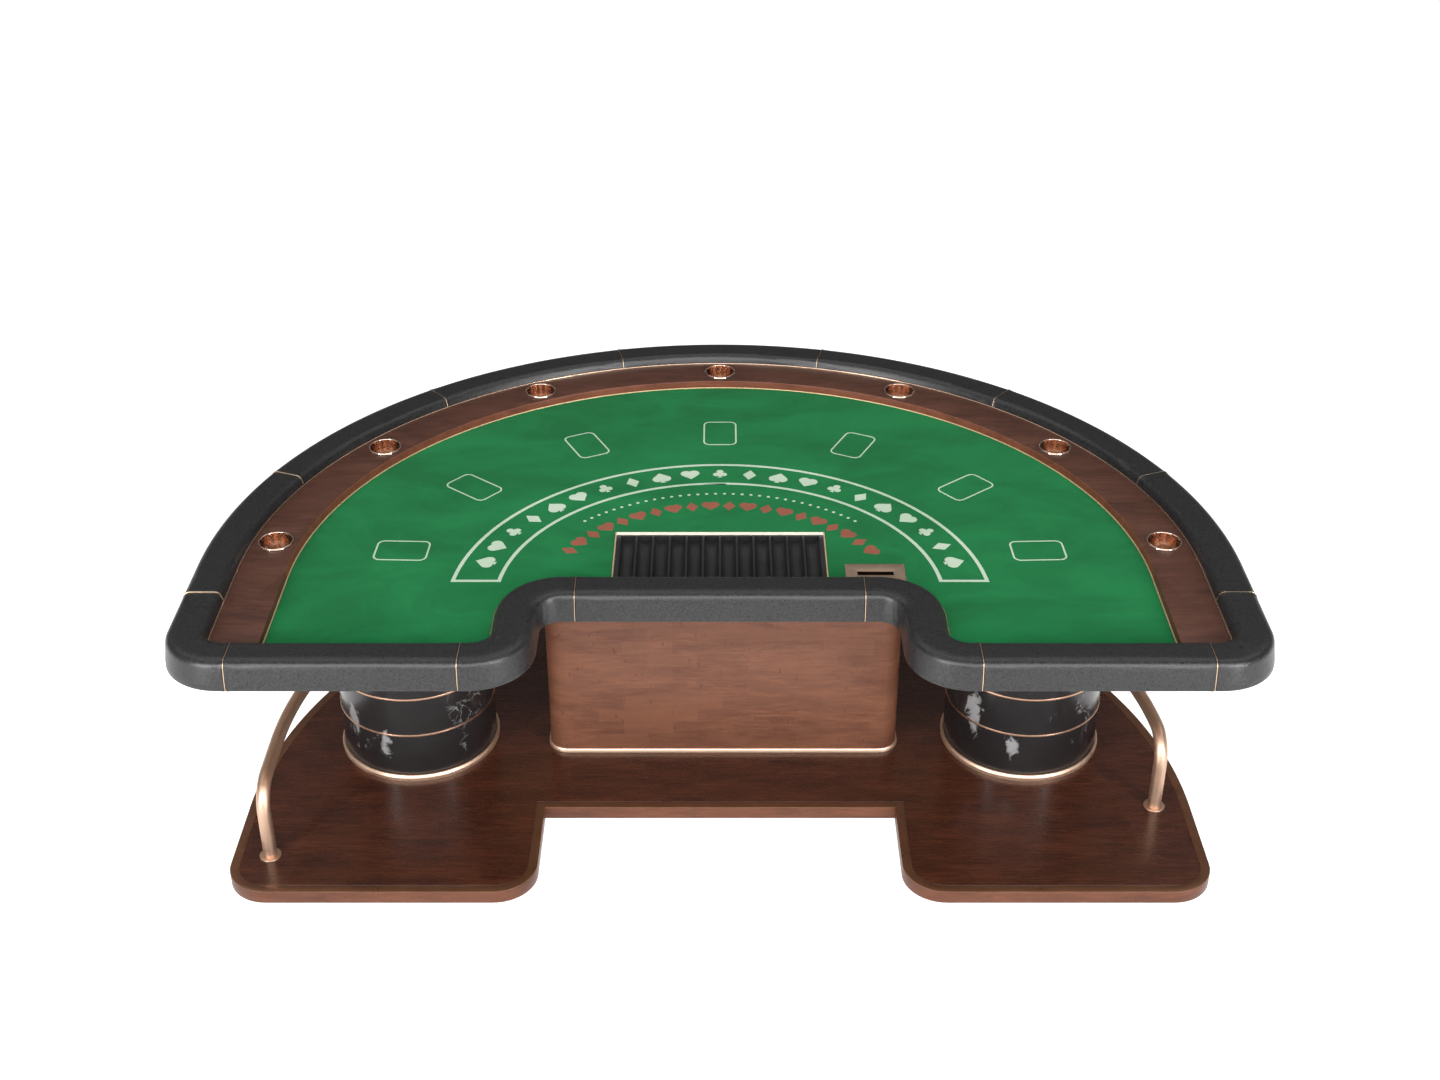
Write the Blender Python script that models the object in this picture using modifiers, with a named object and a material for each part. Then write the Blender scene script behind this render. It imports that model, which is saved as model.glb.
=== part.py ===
"""Seven-place blackjack table on two clad columns, a cabinet and a low platform. Metres, +Z up.

The dealer stands at -Y, the players sit round the arc at +Y. Everything is laid out from the centre
of that arc and parented to an empty, which puts the middle of the footprint at the world origin.
"""
import bmesh
import bpy
import math
from mathutils import Matrix, Vector

GAP = 0.0003                # clearance between pieces that touch
ARC_STEPS = 40              # chords in the half circle, shared by every concentric outline
CORNER_STEPS = 8            # chords in a quarter turn of the armrest
ROUND_STEPS = 6             # chords in a quarter turn of the platform and cabinet

# Table top outline
TABLE_R = 1.344             # outside of the armrest on the players' arc
WING_FRONT = 0.460          # armrest face in front of the arc centre, at the two wings
DEALER_FRONT = 0.160        # the same face at the dealer's place
OUTER_CORNER_R = 0.155
WING_INNER_X = 0.447        # face of the armrest beside the dealer
INNER_CORNER_R = 0.053
ARC_BACK = 0.442            # arc centre to the middle of the footprint

# Heights
PLINTH_TOP = 0.0385
FELT_TOP = 0.7765
FELT_T = 0.003
DECK_T = 0.028
TRACK_TOP = FELT_TOP + 0.022
ARMREST_TOP = FELT_TOP + 0.042
ARMREST_BOTTOM = FELT_TOP - 0.030
DECK_TOP = FELT_TOP - FELT_T - GAP
DECK_BOTTOM = DECK_TOP - DECK_T

# Armrest section, measured inward from its outer face
PAD_SIDE_T = 0.0217
PAD_TOP_T = 0.0197
PAD_OUTER_R = 0.017
PAD_FLAT_END = 0.095
PAD_W = 0.1069
TRIM_T = 0.0033
TRIM_PROUD = 0.002
FIN_T = 0.0024
FIN_PROUD = 0.001
SEAM_DEALER_X = 0.363
SEAM_WING_X = (0.619, 1.169)
SEAM_SIDE_Y = -0.140
SEAM_ANGLES = (68.2, 41.0, 13.8)

# Race track, felt and what sits in them
LEDGE = PAD_W + TRIM_T + 2 * GAP        # outer face of the armrest to the start of the track
TRACK_W = 0.1227
TRACK_CHAMFER = 0.005
FELT_TRIM_W = 0.003
CUP_CIRCLE_R = TABLE_R - 0.169
CUP_ANGLES = (-82.7, -54.7, -27.5, 0.0, 27.5, 54.7, 82.7)
CUP_RIM_R = 0.050
CUP_BODY_R = 0.043
CUP_WALL = 0.0016
CUP_DEPTH = 0.0605
CUP_STEPS = 16
TUBES = 12
TUBE_PITCH = 0.0443
TUBE_R = 0.0195             # for chips 39 mm across
TRAY_FRAME_T = 0.003
TRAY_FRAME_PROUD = 0.003
TRAY_RECESS = 0.004
TRAY_SIDE = 0.0093          # from the last tube's share of the width to the tray's side
TRAY_FLOOR_T = 0.0028
TRAY_END_T = 0.0047
TRAY_HALF_X = TUBES * TUBE_PITCH / 2 + TRAY_SIDE + TRAY_FRAME_T + GAP
TRAY_DEPTH = 0.277
TRAY_Y = (LEDGE - DEALER_FRONT + 0.0032, LEDGE - DEALER_FRONT + 0.0032 + TRAY_DEPTH)
DROP_X = 0.400              # middle of the slot, its plate and the box under it
PLATE_W, PLATE_D, PLATE_T = 0.154, 0.1135, 0.002
PLATE_X = (DROP_X - PLATE_W / 2, DROP_X + PLATE_W / 2)
PLATE_Y = (LEDGE - DEALER_FRONT + 0.0037, LEDGE - DEALER_FRONT + 0.0037 + PLATE_D)
SLOT_W, SLOT_D, SLOT_SETBACK = 0.0935, 0.020, 0.0585
SLOT_X = (DROP_X - SLOT_W / 2, DROP_X + SLOT_W / 2)
SLOT_Y = (PLATE_Y[0] + SLOT_SETBACK, PLATE_Y[0] + SLOT_SETBACK + SLOT_D)
THROAT_T = 0.0015

# Drop box under the slot
BOX_W, BOX_D, BOX_H = 0.140, 0.110, 0.062
BOX_X = (DROP_X - BOX_W / 2, DROP_X + BOX_W / 2)
BOX_Y = (PLATE_Y[0] + 0.0005, PLATE_Y[0] + 0.0005 + BOX_D)
BOX_T = 0.002
BOX_FLANGE = 0.010
BOX_TOP = DECK_BOTTOM - 0.004
HANGER_T = 0.002
HANGER_LIP = 0.009

# Platform and foot rail
PLINTH_SETBACK = 0.048      # from the armrest's outside in to the platform's edge
PLINTH_R = TABLE_R - PLINTH_SETBACK
PLINTH_FRONT = 0.354
PLINTH_CORNER_R = 0.110
NOTCH_HALF = 0.483
NOTCH_Y = -0.006
INLAY_W = 0.025
INLAY_T = 0.003
EDGING_T = 0.012
PLINTH_BOARD_T = 0.0187
RAIL_R = PLINTH_R - 0.0985
RAIL_TUBE_R = 0.018
RAIL_Z = PLINTH_TOP + 0.218
RAIL_BEND_R = 0.070
RAIL_END_L = -0.209         # the left end comes further forward than the right one
RAIL_END_R = 0.000
RAIL_POST_R = 0.014
RAIL_POST_ANGLES = (-60.0, 0.0, 60.0)
FLANGE_R = 0.029
FLANGE_T = 0.0035

# Underframe, cabinet and columns
CABINET_X = 0.009           # the cabinet stands this far right of the middle
CABINET_Y = (0.2434, 0.553)
CABINET_T = 0.018
CABINET_CORNER_R = 0.055
BASE_TRIM_H = 0.015
BASE_TRIM_T = 0.0057
COLUMN_R = 0.218
COLUMN_TO_RAIL = 0.0327     # free space between a column and the foot rail
COLUMN_ANGLE = 21.01        # where the columns stand round the arc centre, from its sides
COLUMN_AT = RAIL_R - RAIL_TUBE_R - COLUMN_TO_RAIL - COLUMN_R
COLUMN_X = COLUMN_AT * math.cos(math.radians(COLUMN_ANGLE))
COLUMN_Y = COLUMN_AT * math.sin(math.radians(COLUMN_ANGLE))
COLUMN_T = 0.015
COLUMN_STEPS = 32
CABINET_TO_COLUMN = 0.1525
CABINET_HALF = COLUMN_X - COLUMN_R - CABINET_TO_COLUMN
BEAM_H = 0.060
BEAM_W = 0.040
FRAME_X = COLUMN_X - COLUMN_R - 0.0045
BOX_TO_BEAM = 0.005         # from the drop box back to the front beam
FRAME_Y = (BOX_Y[1] + BOX_TO_BEAM, CABINET_Y[1] + 0.003 + BEAM_W)
BASE_RING_T = 0.0085
BASE_RING_H = 0.019
RING_H = 0.006
RING_T = 0.0015
RING_FIRST = 0.153
RING_PITCH = 0.121
RINGS = 5
POST_R = 0.038
POST_T = 0.003
POST_FLANGE_R = 0.120
POST_FLANGE_T = 0.010

collections = {}


def clearScene():
    for obj in list(bpy.data.objects):
        bpy.data.objects.remove(obj)
    for block in (bpy.data.meshes, bpy.data.curves, bpy.data.materials):
        for item in list(block):
            block.remove(item)


def makeCollections():
    for name, hidden in (("blackjack_table", False), ("cutters", True)):
        made = bpy.data.collections.new(name)
        made.hide_render = hidden
        bpy.context.scene.collection.children.link(made)
        collections[name] = made


def material(name, colour, roughness, metallic=0.0):
    made = bpy.data.materials.new(name)
    made.use_nodes = True
    shader = made.node_tree.nodes["Principled BSDF"]
    shader.inputs["Base Color"].default_value = (*colour, 1.0)
    shader.inputs["Roughness"].default_value = roughness
    shader.inputs["Metallic"].default_value = metallic
    made.diffuse_color = (*colour, 1.0)
    return made


def finish(obj, look, z=0.0, xy=(0.0, 0.0)):
    """Puts the piece under the table's empty at its own place and gives it its material."""
    obj.location = (xy[0], xy[1], z)
    obj.parent = bpy.data.objects["table_origin"]
    obj.data.materials.clear()
    obj.data.materials.append(material(obj.name + "_mat", *look))
    return obj


def addObject(name, data, helper=False):
    obj = bpy.data.objects.new(name, data)
    collections["cutters" if helper else "blackjack_table"].objects.link(obj)
    if helper:
        obj.hide_render = True
        obj.display_type = "WIRE"
    return obj


# Outlines all run clockwise from above, so that the inside is on their right
def arc(cx, cy, r, start, end, steps):
    angles = [math.radians(start + (end - start) * i / steps) for i in range(steps + 1)]
    return [Vector((cx + r * math.cos(a), cy + r * math.sin(a))) for a in angles]


def tidy(points):
    kept = []
    for p in points:
        if not kept or (p - kept[-1]).length > 1e-6:
            kept.append(p)
    if (kept[0] - kept[-1]).length < 1e-6:
        kept.pop()
    return kept


def inset(points, d, closed=True):
    """The same outline moved to its right by d, keeping every chord parallel."""
    made = []
    count = len(points)
    for i, p in enumerate(points):
        before = points[i - 1] if closed or i else None
        after = points[(i + 1) % count] if closed or i < count - 1 else None
        sides = []
        for a, b in ((before, p), (p, after)):
            if a is not None and b is not None:
                along = (b - a).normalized()
                sides.append(Vector((along.y, -along.x)))
        normal = sum(sides, Vector((0.0, 0.0))).normalized()
        made.append(p + normal * (d / normal.dot(sides[0])))
    return made


def tableLoop():
    r, wx = OUTER_CORNER_R, WING_INNER_X
    cx, cy = TABLE_R - r, -WING_FRONT + r
    ix, iy = wx - INNER_CORNER_R, -DEALER_FRONT - INNER_CORNER_R
    n = CORNER_STEPS
    return tidy(
        arc(wx + r, cy, r, -90, -180, n)
        + arc(ix, iy, INNER_CORNER_R, 0, 90, n)
        + arc(-ix, iy, INNER_CORNER_R, 90, 180, n)
        + arc(-wx - r, cy, r, 0, -90, n)
        + arc(-cx, cy, r, -90, -180, n)
        + arc(0, 0, TABLE_R, 180, 0, ARC_STEPS)
        + arc(cx, cy, r, 0, -90, n)
    )


def plinthLoop():
    r, n = PLINTH_CORNER_R, ROUND_STEPS
    y, nx, ox = -PLINTH_FRONT + r, NOTCH_HALF + r, PLINTH_R - r
    return tidy(
        arc(nx, y, r, -90, -180, n)
        + [Vector((NOTCH_HALF, NOTCH_Y)), Vector((-NOTCH_HALF, NOTCH_Y))]
        + arc(-nx, y, r, 0, -90, n)
        + arc(-ox, y, r, -90, -180, n)
        + arc(0, 0, PLINTH_R, 180, 0, ARC_STEPS)
        + arc(ox, y, r, 0, -90, n)
    )


def nearestOn(points, target):
    """Distance along a closed outline to the place nearest to target."""
    best, run = None, 0.0
    for i, a in enumerate(points):
        b = points[(i + 1) % len(points)]
        side = b - a
        t = max(0.0, min(1.0, (target - a).dot(side) / side.length_squared))
        gap = (a + side * t - target).length
        if best is None or gap < best[0] - 1e-9:
            best = (gap, run + t * side.length)
        run += side.length
    return best[1]


def stretch(points, start, end):
    """The part of a closed outline from start to end, both distances along it."""
    sides = [(points[(i + 1) % len(points)] - a).length for i, a in enumerate(points)]
    total = sum(sides)
    end += total if end < start else 0.0
    made, run = [], 0.0
    for lap in range(2):
        for a, b, length in zip(points, points[1:] + points[:1], sides):
            if run + length > start and run < end:
                for t in (max(start, run), min(end, run + length)):
                    spot = a + (b - a) * ((t - run) / length)
                    if not made or (spot - made[-1]).length > 1e-5:
                        made.append(spot)
            run += length
    return made


def seams(points):
    """Where the armrest's pads meet, in order along the outline from the right dealer seam."""
    spots = [(SEAM_DEALER_X, -DEALER_FRONT), (-SEAM_DEALER_X, -DEALER_FRONT)]
    spots += [(-x, -WING_FRONT) for x in SEAM_WING_X] + [(-TABLE_R, SEAM_SIDE_Y)]
    around = [-a for a in SEAM_ANGLES] + list(reversed(SEAM_ANGLES))
    spots += [(TABLE_R * math.sin(math.radians(a)), TABLE_R * math.cos(math.radians(a))) for a in around]
    spots += [(TABLE_R, SEAM_SIDE_Y)] + [(x, -WING_FRONT) for x in reversed(SEAM_WING_X)]
    return [nearestOn(points, Vector(s)) for s in spots]


def sideArc(d, front):
    """Open outline at inset d from the left front end, round the players' arc, to the right one."""
    inner = inset(arc(0, 0, TABLE_R, 180, 0, ARC_STEPS), d, closed=False)
    x = TABLE_R - d
    inner[0], inner[-1] = Vector((-x, inner[0].y)), Vector((x, inner[-1].y))
    return [Vector((-x, front))] + inner + [Vector((x, front))]


# Ways of making a solid
def curveFrom(name, loops, closed=True, flat=True, helper=False):
    data = bpy.data.curves.new(name, "CURVE")
    data.dimensions = "2D" if flat else "3D"
    for loop in loops:
        spline = data.splines.new("POLY")
        spline.points.add(len(loop) - 1)
        for point, p in zip(spline.points, loop):
            point.co = (p[0], p[1], p[2] if len(p) > 2 else 0.0, 1.0)
        spline.use_cyclic_u = closed
    return addObject(name, data, helper)


def toMesh(obj, merge=0.00001):
    """Turns a curve into a closed mesh object of the same name and place."""
    bpy.context.view_layer.update()
    graph = bpy.context.evaluated_depsgraph_get()
    mesh = bpy.data.meshes.new_from_object(obj.evaluated_get(graph))
    name, hidden = obj.name, obj.hide_render
    bpy.data.objects.remove(obj)
    work = bmesh.new()
    work.from_mesh(mesh)
    bmesh.ops.remove_doubles(work, verts=work.verts, dist=merge)
    bmesh.ops.recalc_face_normals(work, faces=work.faces)
    work.to_mesh(mesh)
    work.free()
    mesh.name = name
    return addObject(name, mesh, helper=hidden)


def slab(name, loops, bottom, top, helper=False):
    """A flat board: the first loop is its outline and the others are holes through it."""
    obj = curveFrom(name, loops, helper=helper)
    obj.data.fill_mode = "BOTH"
    obj.data.extrude = (top - bottom) / 2
    obj = toMesh(obj)
    obj.data.transform(Matrix.Translation((0.0, 0.0, (bottom + top) / 2)))
    return obj


def rect(x0, x1, y0, y1):
    return [Vector((x0, y0)), Vector((x0, y1)), Vector((x1, y1)), Vector((x1, y0))]


def circle(cx, cy, r, steps):
    return arc(cx, cy, r, 0, -360, steps)[:-1]


def swept(name, section, path, closed=False, helper=False):
    """A section of (inward, up) points carried along an outline, with its ends filled."""
    profile = curveFrom(name + "_section", [section], helper=True)
    profile.data.fill_mode = "NONE"
    obj = curveFrom(name, [path], closed=closed, helper=helper)
    obj.data.fill_mode = "NONE"
    obj.data.bevel_mode = "OBJECT"
    obj.data.bevel_object = profile
    obj.data.use_fill_caps = not closed
    obj = toMesh(obj)
    bpy.data.objects.remove(profile)
    return obj


def turned(name, profile, steps, closed=False, helper=False):
    """A solid of revolution about Z from (radius, height) points, run top to bottom outside."""
    mesh = bpy.data.meshes.new(name)
    edges = [(i, i + 1) for i in range(len(profile) - 1)]
    edges += [(len(profile) - 1, 0)] if closed else []
    mesh.from_pydata([(r, 0.0, z) for r, z in profile], edges, [])
    obj = addObject(name, mesh, helper)
    screw = obj.modifiers.new("turn", "SCREW")
    screw.steps = screw.render_steps = steps
    screw.use_merge_vertices = True
    screw.merge_threshold = 0.00005
    return obj


def combine(obj, other, operation):
    """Applies a Boolean with a helper mesh and removes the helper."""
    change = obj.modifiers.new("combine", "BOOLEAN")
    change.operation = operation
    change.solver = "EXACT"
    change.object = other
    bpy.context.view_layer.update()
    graph = bpy.context.evaluated_depsgraph_get()
    mesh = bpy.data.meshes.new_from_object(obj.evaluated_get(graph))
    obj.modifiers.clear()
    old, obj.data = obj.data, mesh
    bpy.data.meshes.remove(old)
    bpy.data.objects.remove(other)
    return obj


def joined(name, pieces):
    """One helper mesh from several helper meshes that don't touch."""
    work = bmesh.new()
    for piece in pieces:
        work.from_mesh(piece.data)
        bpy.data.objects.remove(piece)
    mesh = bpy.data.meshes.new(name)
    work.to_mesh(mesh)
    work.free()
    return addObject(name, mesh, helper=True)


# The platform
WALNUT_DARK = ((0.085, 0.032, 0.018), 0.25)
WALNUT_MID = ((0.150, 0.058, 0.032), 0.35)
WALNUT_LIGHT = ((0.270, 0.110, 0.060), 0.40)
PLYWOOD = ((0.520, 0.370, 0.210), 0.70)
BRONZE = ((0.220, 0.150, 0.085), 0.30, 1.0)
ROSE_GOLD = ((0.850, 0.560, 0.400), 0.16, 1.0)
COPPER = ((0.800, 0.420, 0.260), 0.18, 1.0)
LEATHER = ((0.030, 0.031, 0.034), 0.55)
BAIZE = ((0.018, 0.190, 0.060), 0.95)
MARBLE = ((0.014, 0.014, 0.016), 0.10)
BLACK_PLASTIC = ((0.012, 0.012, 0.013), 0.45)
BLACK_STEEL = ((0.030, 0.030, 0.032), 0.50, 0.6)
ZINC_STEEL = ((0.420, 0.420, 0.430), 0.40, 1.0)


def buildPlinth(loop):
    inlayBottom = PLINTH_TOP - INLAY_T
    boardBottom = PLINTH_TOP - PLINTH_BOARD_T
    edging = slab("plinth_edging", [loop, inset(loop, EDGING_T)], 0.0, inlayBottom - GAP)
    finish(edging, WALNUT_MID)
    inlay = slab("plinth_inlay", [loop, inset(loop, INLAY_W)], inlayBottom, PLINTH_TOP)
    finish(inlay, BRONZE)
    deck = slab("plinth_deck", [inset(loop, EDGING_T + GAP)], boardBottom, inlayBottom - GAP)
    upper = slab("deck_top", [inset(loop, INLAY_W + GAP)], boardBottom + 0.004, PLINTH_TOP, helper=True)
    finish(combine(deck, upper, "UNION"), WALNUT_DARK)
    base = slab("plinth_base", [inset(loop, EDGING_T + GAP)], 0.0, boardBottom - GAP)
    finish(base, PLYWOOD)


# The columns
def buildColumn(side, x):
    top = DECK_BOTTOM - GAP
    foot = PLINTH_TOP + GAP
    inner, outer = COLUMN_R - COLUMN_T, COLUMN_R
    shell = turned("column_shell_" + side, [(outer, top), (outer, foot), (inner, foot), (inner, top)],
                   COLUMN_STEPS, closed=True)
    finish(shell, MARBLE, xy=(x, COLUMN_Y))
    near, far = outer + GAP, outer + BASE_RING_T
    ring = [(near, BASE_RING_H), (near + 0.0045, BASE_RING_H), (far, BASE_RING_H * 0.6), (far - 0.0015, 0.0),
            (near, 0.0)]
    finish(turned("column_base_ring_" + side, ring, COLUMN_STEPS, closed=True), ROSE_GOLD, foot,
           (x, COLUMN_Y))
    for i in range(RINGS):
        band = [(near, RING_H / 2), (near + RING_T, RING_H / 2), (near + RING_T, -RING_H / 2),
                (near, -RING_H / 2)]
        ring = turned(f"column_ring_{side}{i + 1}", band, COLUMN_STEPS, closed=True)
        finish(ring, ROSE_GOLD, PLINTH_TOP + RING_FIRST + i * RING_PITCH, (x, COLUMN_Y))
    a, b = POST_FLANGE_R, POST_FLANGE_T
    bore = POST_R - POST_T
    profile = [(a, top), (a, top - b), (POST_R, top - b), (POST_R, foot + b), (a, foot + b), (a, foot),
               (bore, foot), (bore, top)]
    finish(turned("column_post_" + side, profile, 16, closed=True), BLACK_STEEL, xy=(x, COLUMN_Y))


# The cabinet and the frame under the top
def cabinetPath(d):
    """The cabinet's outside, open at the back, from its right end by the front to its left end."""
    r, x, (front, back) = CABINET_CORNER_R, CABINET_HALF, CABINET_Y
    path = [Vector((x, back))] + arc(x - r, front + r, r, 0, -90, ROUND_STEPS)
    path += arc(-x + r, front + r, r, -90, -180, ROUND_STEPS) + [Vector((-x, back))]
    return inset(tidy(path), d, closed=False)


def buildCabinet():
    foot, top = PLINTH_TOP + GAP, DECK_BOTTOM - GAP
    outline = cabinetPath(0.0) + list(reversed(cabinetPath(CABINET_T)))
    finish(slab("cabinet_shell", [outline], foot, top), WALNUT_LIGHT, xy=(CABINET_X, 0.0))
    x, back = CABINET_HALF - CABINET_T - GAP, CABINET_Y[1]
    panel = slab("cabinet_back", [rect(-x, x, back - CABINET_T, back)], foot, top)
    finish(panel, WALNUT_LIGHT, xy=(CABINET_X, 0.0))
    t, h = BASE_TRIM_T, BASE_TRIM_H
    section = [(-GAP, 0.0), (-t + 0.001, 0.0), (-t, h * 0.35), (-t + 0.0008, h * 0.75),
               (-t + 0.003, h), (-GAP, h)]
    trim = swept("cabinet_trim", section, cabinetPath(0.0))
    finish(trim, ROSE_GOLD, foot, (CABINET_X, 0.0))


def buildUnderframe():
    x, (front, back), w = FRAME_X, FRAME_Y, BEAM_W
    top = DECK_BOTTOM - GAP
    frame = slab("underframe", [rect(-x, x, front, back), rect(w - x, x - w, front + w, back - w)],
                 top - BEAM_H, top)
    finish(frame, PLYWOOD)


# The top
def cupSpots():
    return [(CUP_CIRCLE_R * math.sin(math.radians(a)), CUP_CIRCLE_R * math.cos(math.radians(a)))
            for a in CUP_ANGLES]


def cupHoles():
    return [circle(x, y, CUP_BODY_R + 0.0005, CUP_STEPS) for x, y in cupSpots()]


def frontPath(loop, x):
    """The armrest's inside edge along the dealer's side, from +x to -x on the wing fronts."""
    inner = inset(loop, LEDGE)
    front = LEDGE - WING_FRONT
    return stretch(inner, nearestOn(inner, Vector((x, front))), nearestOn(inner, Vector((-x, front))))


def buildDeck(loop):
    holes = cupHoles()
    t = THROAT_T + 2 * GAP
    slot = rect(SLOT_X[0] - t, SLOT_X[1] + t, SLOT_Y[0] - t, SLOT_Y[1] + t)
    deck = slab("table_deck", [inset(loop, PAD_SIDE_T + GAP)] + holes + [slot], DECK_BOTTOM, DECK_TOP)
    floor = FELT_TOP - TRAY_RECESS - TUBE_R - TRAY_FLOOR_T - GAP
    pocket = slab("pocket", [rect(-TRAY_HALF_X - GAP, TRAY_HALF_X + GAP, TRAY_Y[0] - GAP, TRAY_Y[1] + GAP)],
                  floor, FELT_TOP + 0.01, helper=True)
    finish(combine(deck, pocket, "DIFFERENCE"), PLYWOOD)

    d = LEDGE + TRACK_W + GAP + FELT_TRIM_W + GAP
    front = LEDGE - WING_FRONT
    outline = sideArc(d, front)[1:-1] + frontPath(loop, TABLE_R - d)
    felt = slab("felt_layout", [outline, rect(-TRAY_HALF_X - GAP, TRAY_HALF_X + GAP, TRAY_Y[0] - GAP,
                                              TRAY_Y[1] + GAP), slot], DECK_TOP + GAP, FELT_TOP)
    finish(felt, BAIZE)
    outer = d - GAP
    outline = sideArc(outer - FELT_TRIM_W, front) + list(reversed(sideArc(outer, front)))
    finish(slab("felt_trim", [outline], DECK_TOP + GAP, FELT_TOP + TRIM_PROUD), ROSE_GOLD)
    return outer - FELT_TRIM_W - GAP, front


def buildRaceTrack(loop, d, front):
    outer = inset(loop, LEDGE)
    x = TABLE_R - d
    start, end = nearestOn(outer, Vector((-x, front))), nearestOn(outer, Vector((x, front)))
    outline = stretch(outer, start, end) + list(reversed(sideArc(d, front)))[1:-1]
    track = slab("race_track", [outline] + cupHoles(), DECK_TOP + GAP, TRACK_TOP)
    work = bmesh.new()
    work.from_mesh(track.data)
    near = [e for e in work.edges if all(
        v.co.z > TRACK_TOP - 1e-5 and onInside(v.co, x) for v in e.verts)
        and len(e.link_faces) == 2 and abs(e.calc_face_angle(0.0)) > 1.0]
    bmesh.ops.bevel(work, geom=near, offset=TRACK_CHAMFER, segments=2, profile=0.6, affect="EDGES")
    work.to_mesh(track.data)
    work.free()
    finish(track, WALNUT_MID)


def onInside(co, x):
    """True for a point on the race track's edge next to the felt."""
    return (co.y < 1e-5 and abs(abs(co.x) - x) < 1e-4) or (co.y >= 0 and abs(math.hypot(co.x, co.y) - x) < 2e-3)


def padSection(grow=0.0, reach=0.0):
    """The upholstered section as (inward, up) points, an L over the core's top and outer side."""
    g, top, bottom = grow, ARMREST_TOP + grow, ARMREST_BOTTOM - grow
    under = ARMREST_TOP - PAD_TOP_T
    r, end = PAD_OUTER_R + g, PAD_FLAT_END
    section = [(-g + 0.006, bottom), (-g, bottom + 0.006)]
    section += [(-g + r - r * math.cos(a), top - r + r * math.sin(a))
                for a in (math.radians(v) for v in (0, 30, 60, 90))]
    section += [(end - 0.002, top), (end + 0.004 + g * 0.5, top - 0.0035 + g * 0.3),
                (PAD_W - 0.0035 + g * 0.7, top - 0.012), (PAD_W, TRACK_TOP + 0.002)]
    if reach:
        section += [(PAD_W + reach, TRACK_TOP + 0.002), (PAD_W + reach, under)]
    else:
        section += [(PAD_W, under)]
    return section + [(PAD_SIDE_T, under), (PAD_SIDE_T, bottom)]


def buildArmrest(loop):
    inner = PAD_SIDE_T + GAP
    core = slab("armrest_core", [inset(loop, inner), inset(loop, PAD_W)], DECK_TOP + GAP,
                ARMREST_TOP - PAD_TOP_T - GAP)
    finish(core, PLYWOOD)
    names = ["dealer", "curve_l", "wing_l", "corner_l", "side_l", "shoulder_l", "arc_l", "back",
             "arc_r", "shoulder_r", "side_r", "corner_r", "wing_r", "curve_r"]
    places = seams(loop)
    half = FIN_T / 2 + GAP
    for i, name in enumerate(names):
        path = stretch(loop, places[i] + half, places[(i + 1) % len(places)] - half)
        finish(swept("armrest_pad_" + name, padSection(), path), LEATHER)
    d = PAD_W + GAP
    trim = slab("armrest_trim", [inset(loop, d), inset(loop, d + TRIM_T)], DECK_TOP + GAP,
                TRACK_TOP + TRIM_PROUD)
    fins = [swept(f"fin_{i}", padSection(FIN_PROUD, TRIM_T * 0.6),
                  stretch(loop, s - FIN_T / 2, s + FIN_T / 2), helper=True) for i, s in enumerate(places)]
    finish(combine(trim, joined("fins", fins), "UNION"), ROSE_GOLD)


def buildCups():
    top, t, r = TRACK_TOP + GAP, CUP_WALL, CUP_BODY_R
    names = ["far_l", "side_l", "arc_l", "back", "arc_r", "side_r", "far_r"]
    profile = [(0.0, t - CUP_DEPTH), (r - t, t - CUP_DEPTH), (r - t, 0.0015), (r + 0.003, 0.0042),
               (CUP_RIM_R - 0.0008, 0.003), (CUP_RIM_R - 0.0005, 0.0), (r, 0.0), (r, -CUP_DEPTH),
               (0.0, -CUP_DEPTH)]
    for name, spot in zip(names, cupSpots()):
        finish(turned("cup_holder_" + name, profile, CUP_STEPS), COPPER, top, spot)


def buildTray():
    floor = FELT_TOP - TRAY_RECESS - TUBE_R - TRAY_FLOOR_T
    hx, (y0, y1), t = TRAY_HALF_X, TRAY_Y, TRAY_FRAME_T
    frame = slab("chip_tray_frame", [rect(-hx, hx, y0, y1), rect(-hx + t, hx - t, y0 + t, y1 - t)], floor,
                 FELT_TOP + TRAY_FRAME_PROUD)
    finish(frame, ROSE_GOLD)
    g, top = t + GAP, FELT_TOP - TRAY_RECESS
    tray = slab("chip_tray", [rect(-hx + g, hx - g, y0 + g, y1 - g)], floor, top)
    tubes = []
    for i in range(TUBES):
        bpy.ops.mesh.primitive_cylinder_add(vertices=20, radius=TUBE_R, depth=y1 - y0 - 2 * (g + TRAY_END_T))
        tube = bpy.context.object
        turn = Matrix.Translation(((i - (TUBES - 1) / 2) * TUBE_PITCH, (y0 + y1) / 2, top))
        tube.data.transform(turn @ Matrix.Rotation(math.radians(90), 4, "X"))
        tubes.append(tube)
    finish(combine(tray, joined("tubes", tubes), "DIFFERENCE"), BLACK_PLASTIC)


def buildDropSlot():
    (x0, x1), (y0, y1), (sx0, sx1), (sy0, sy1) = PLATE_X, PLATE_Y, SLOT_X, SLOT_Y
    foot = FELT_TOP + GAP
    hole, t = rect(sx0, sx1, sy0, sy1), THROAT_T
    plate = slab("drop_slot_plate", [rect(x0, x1, y0, y1), hole], foot, foot + PLATE_T)
    throat = slab("throat", [rect(sx0 - t, sx1 + t, sy0 - t, sy1 + t), hole], DECK_BOTTOM - 0.001,
                  foot + PLATE_T / 2, helper=True)
    finish(combine(plate, throat, "UNION"), BRONZE)


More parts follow.
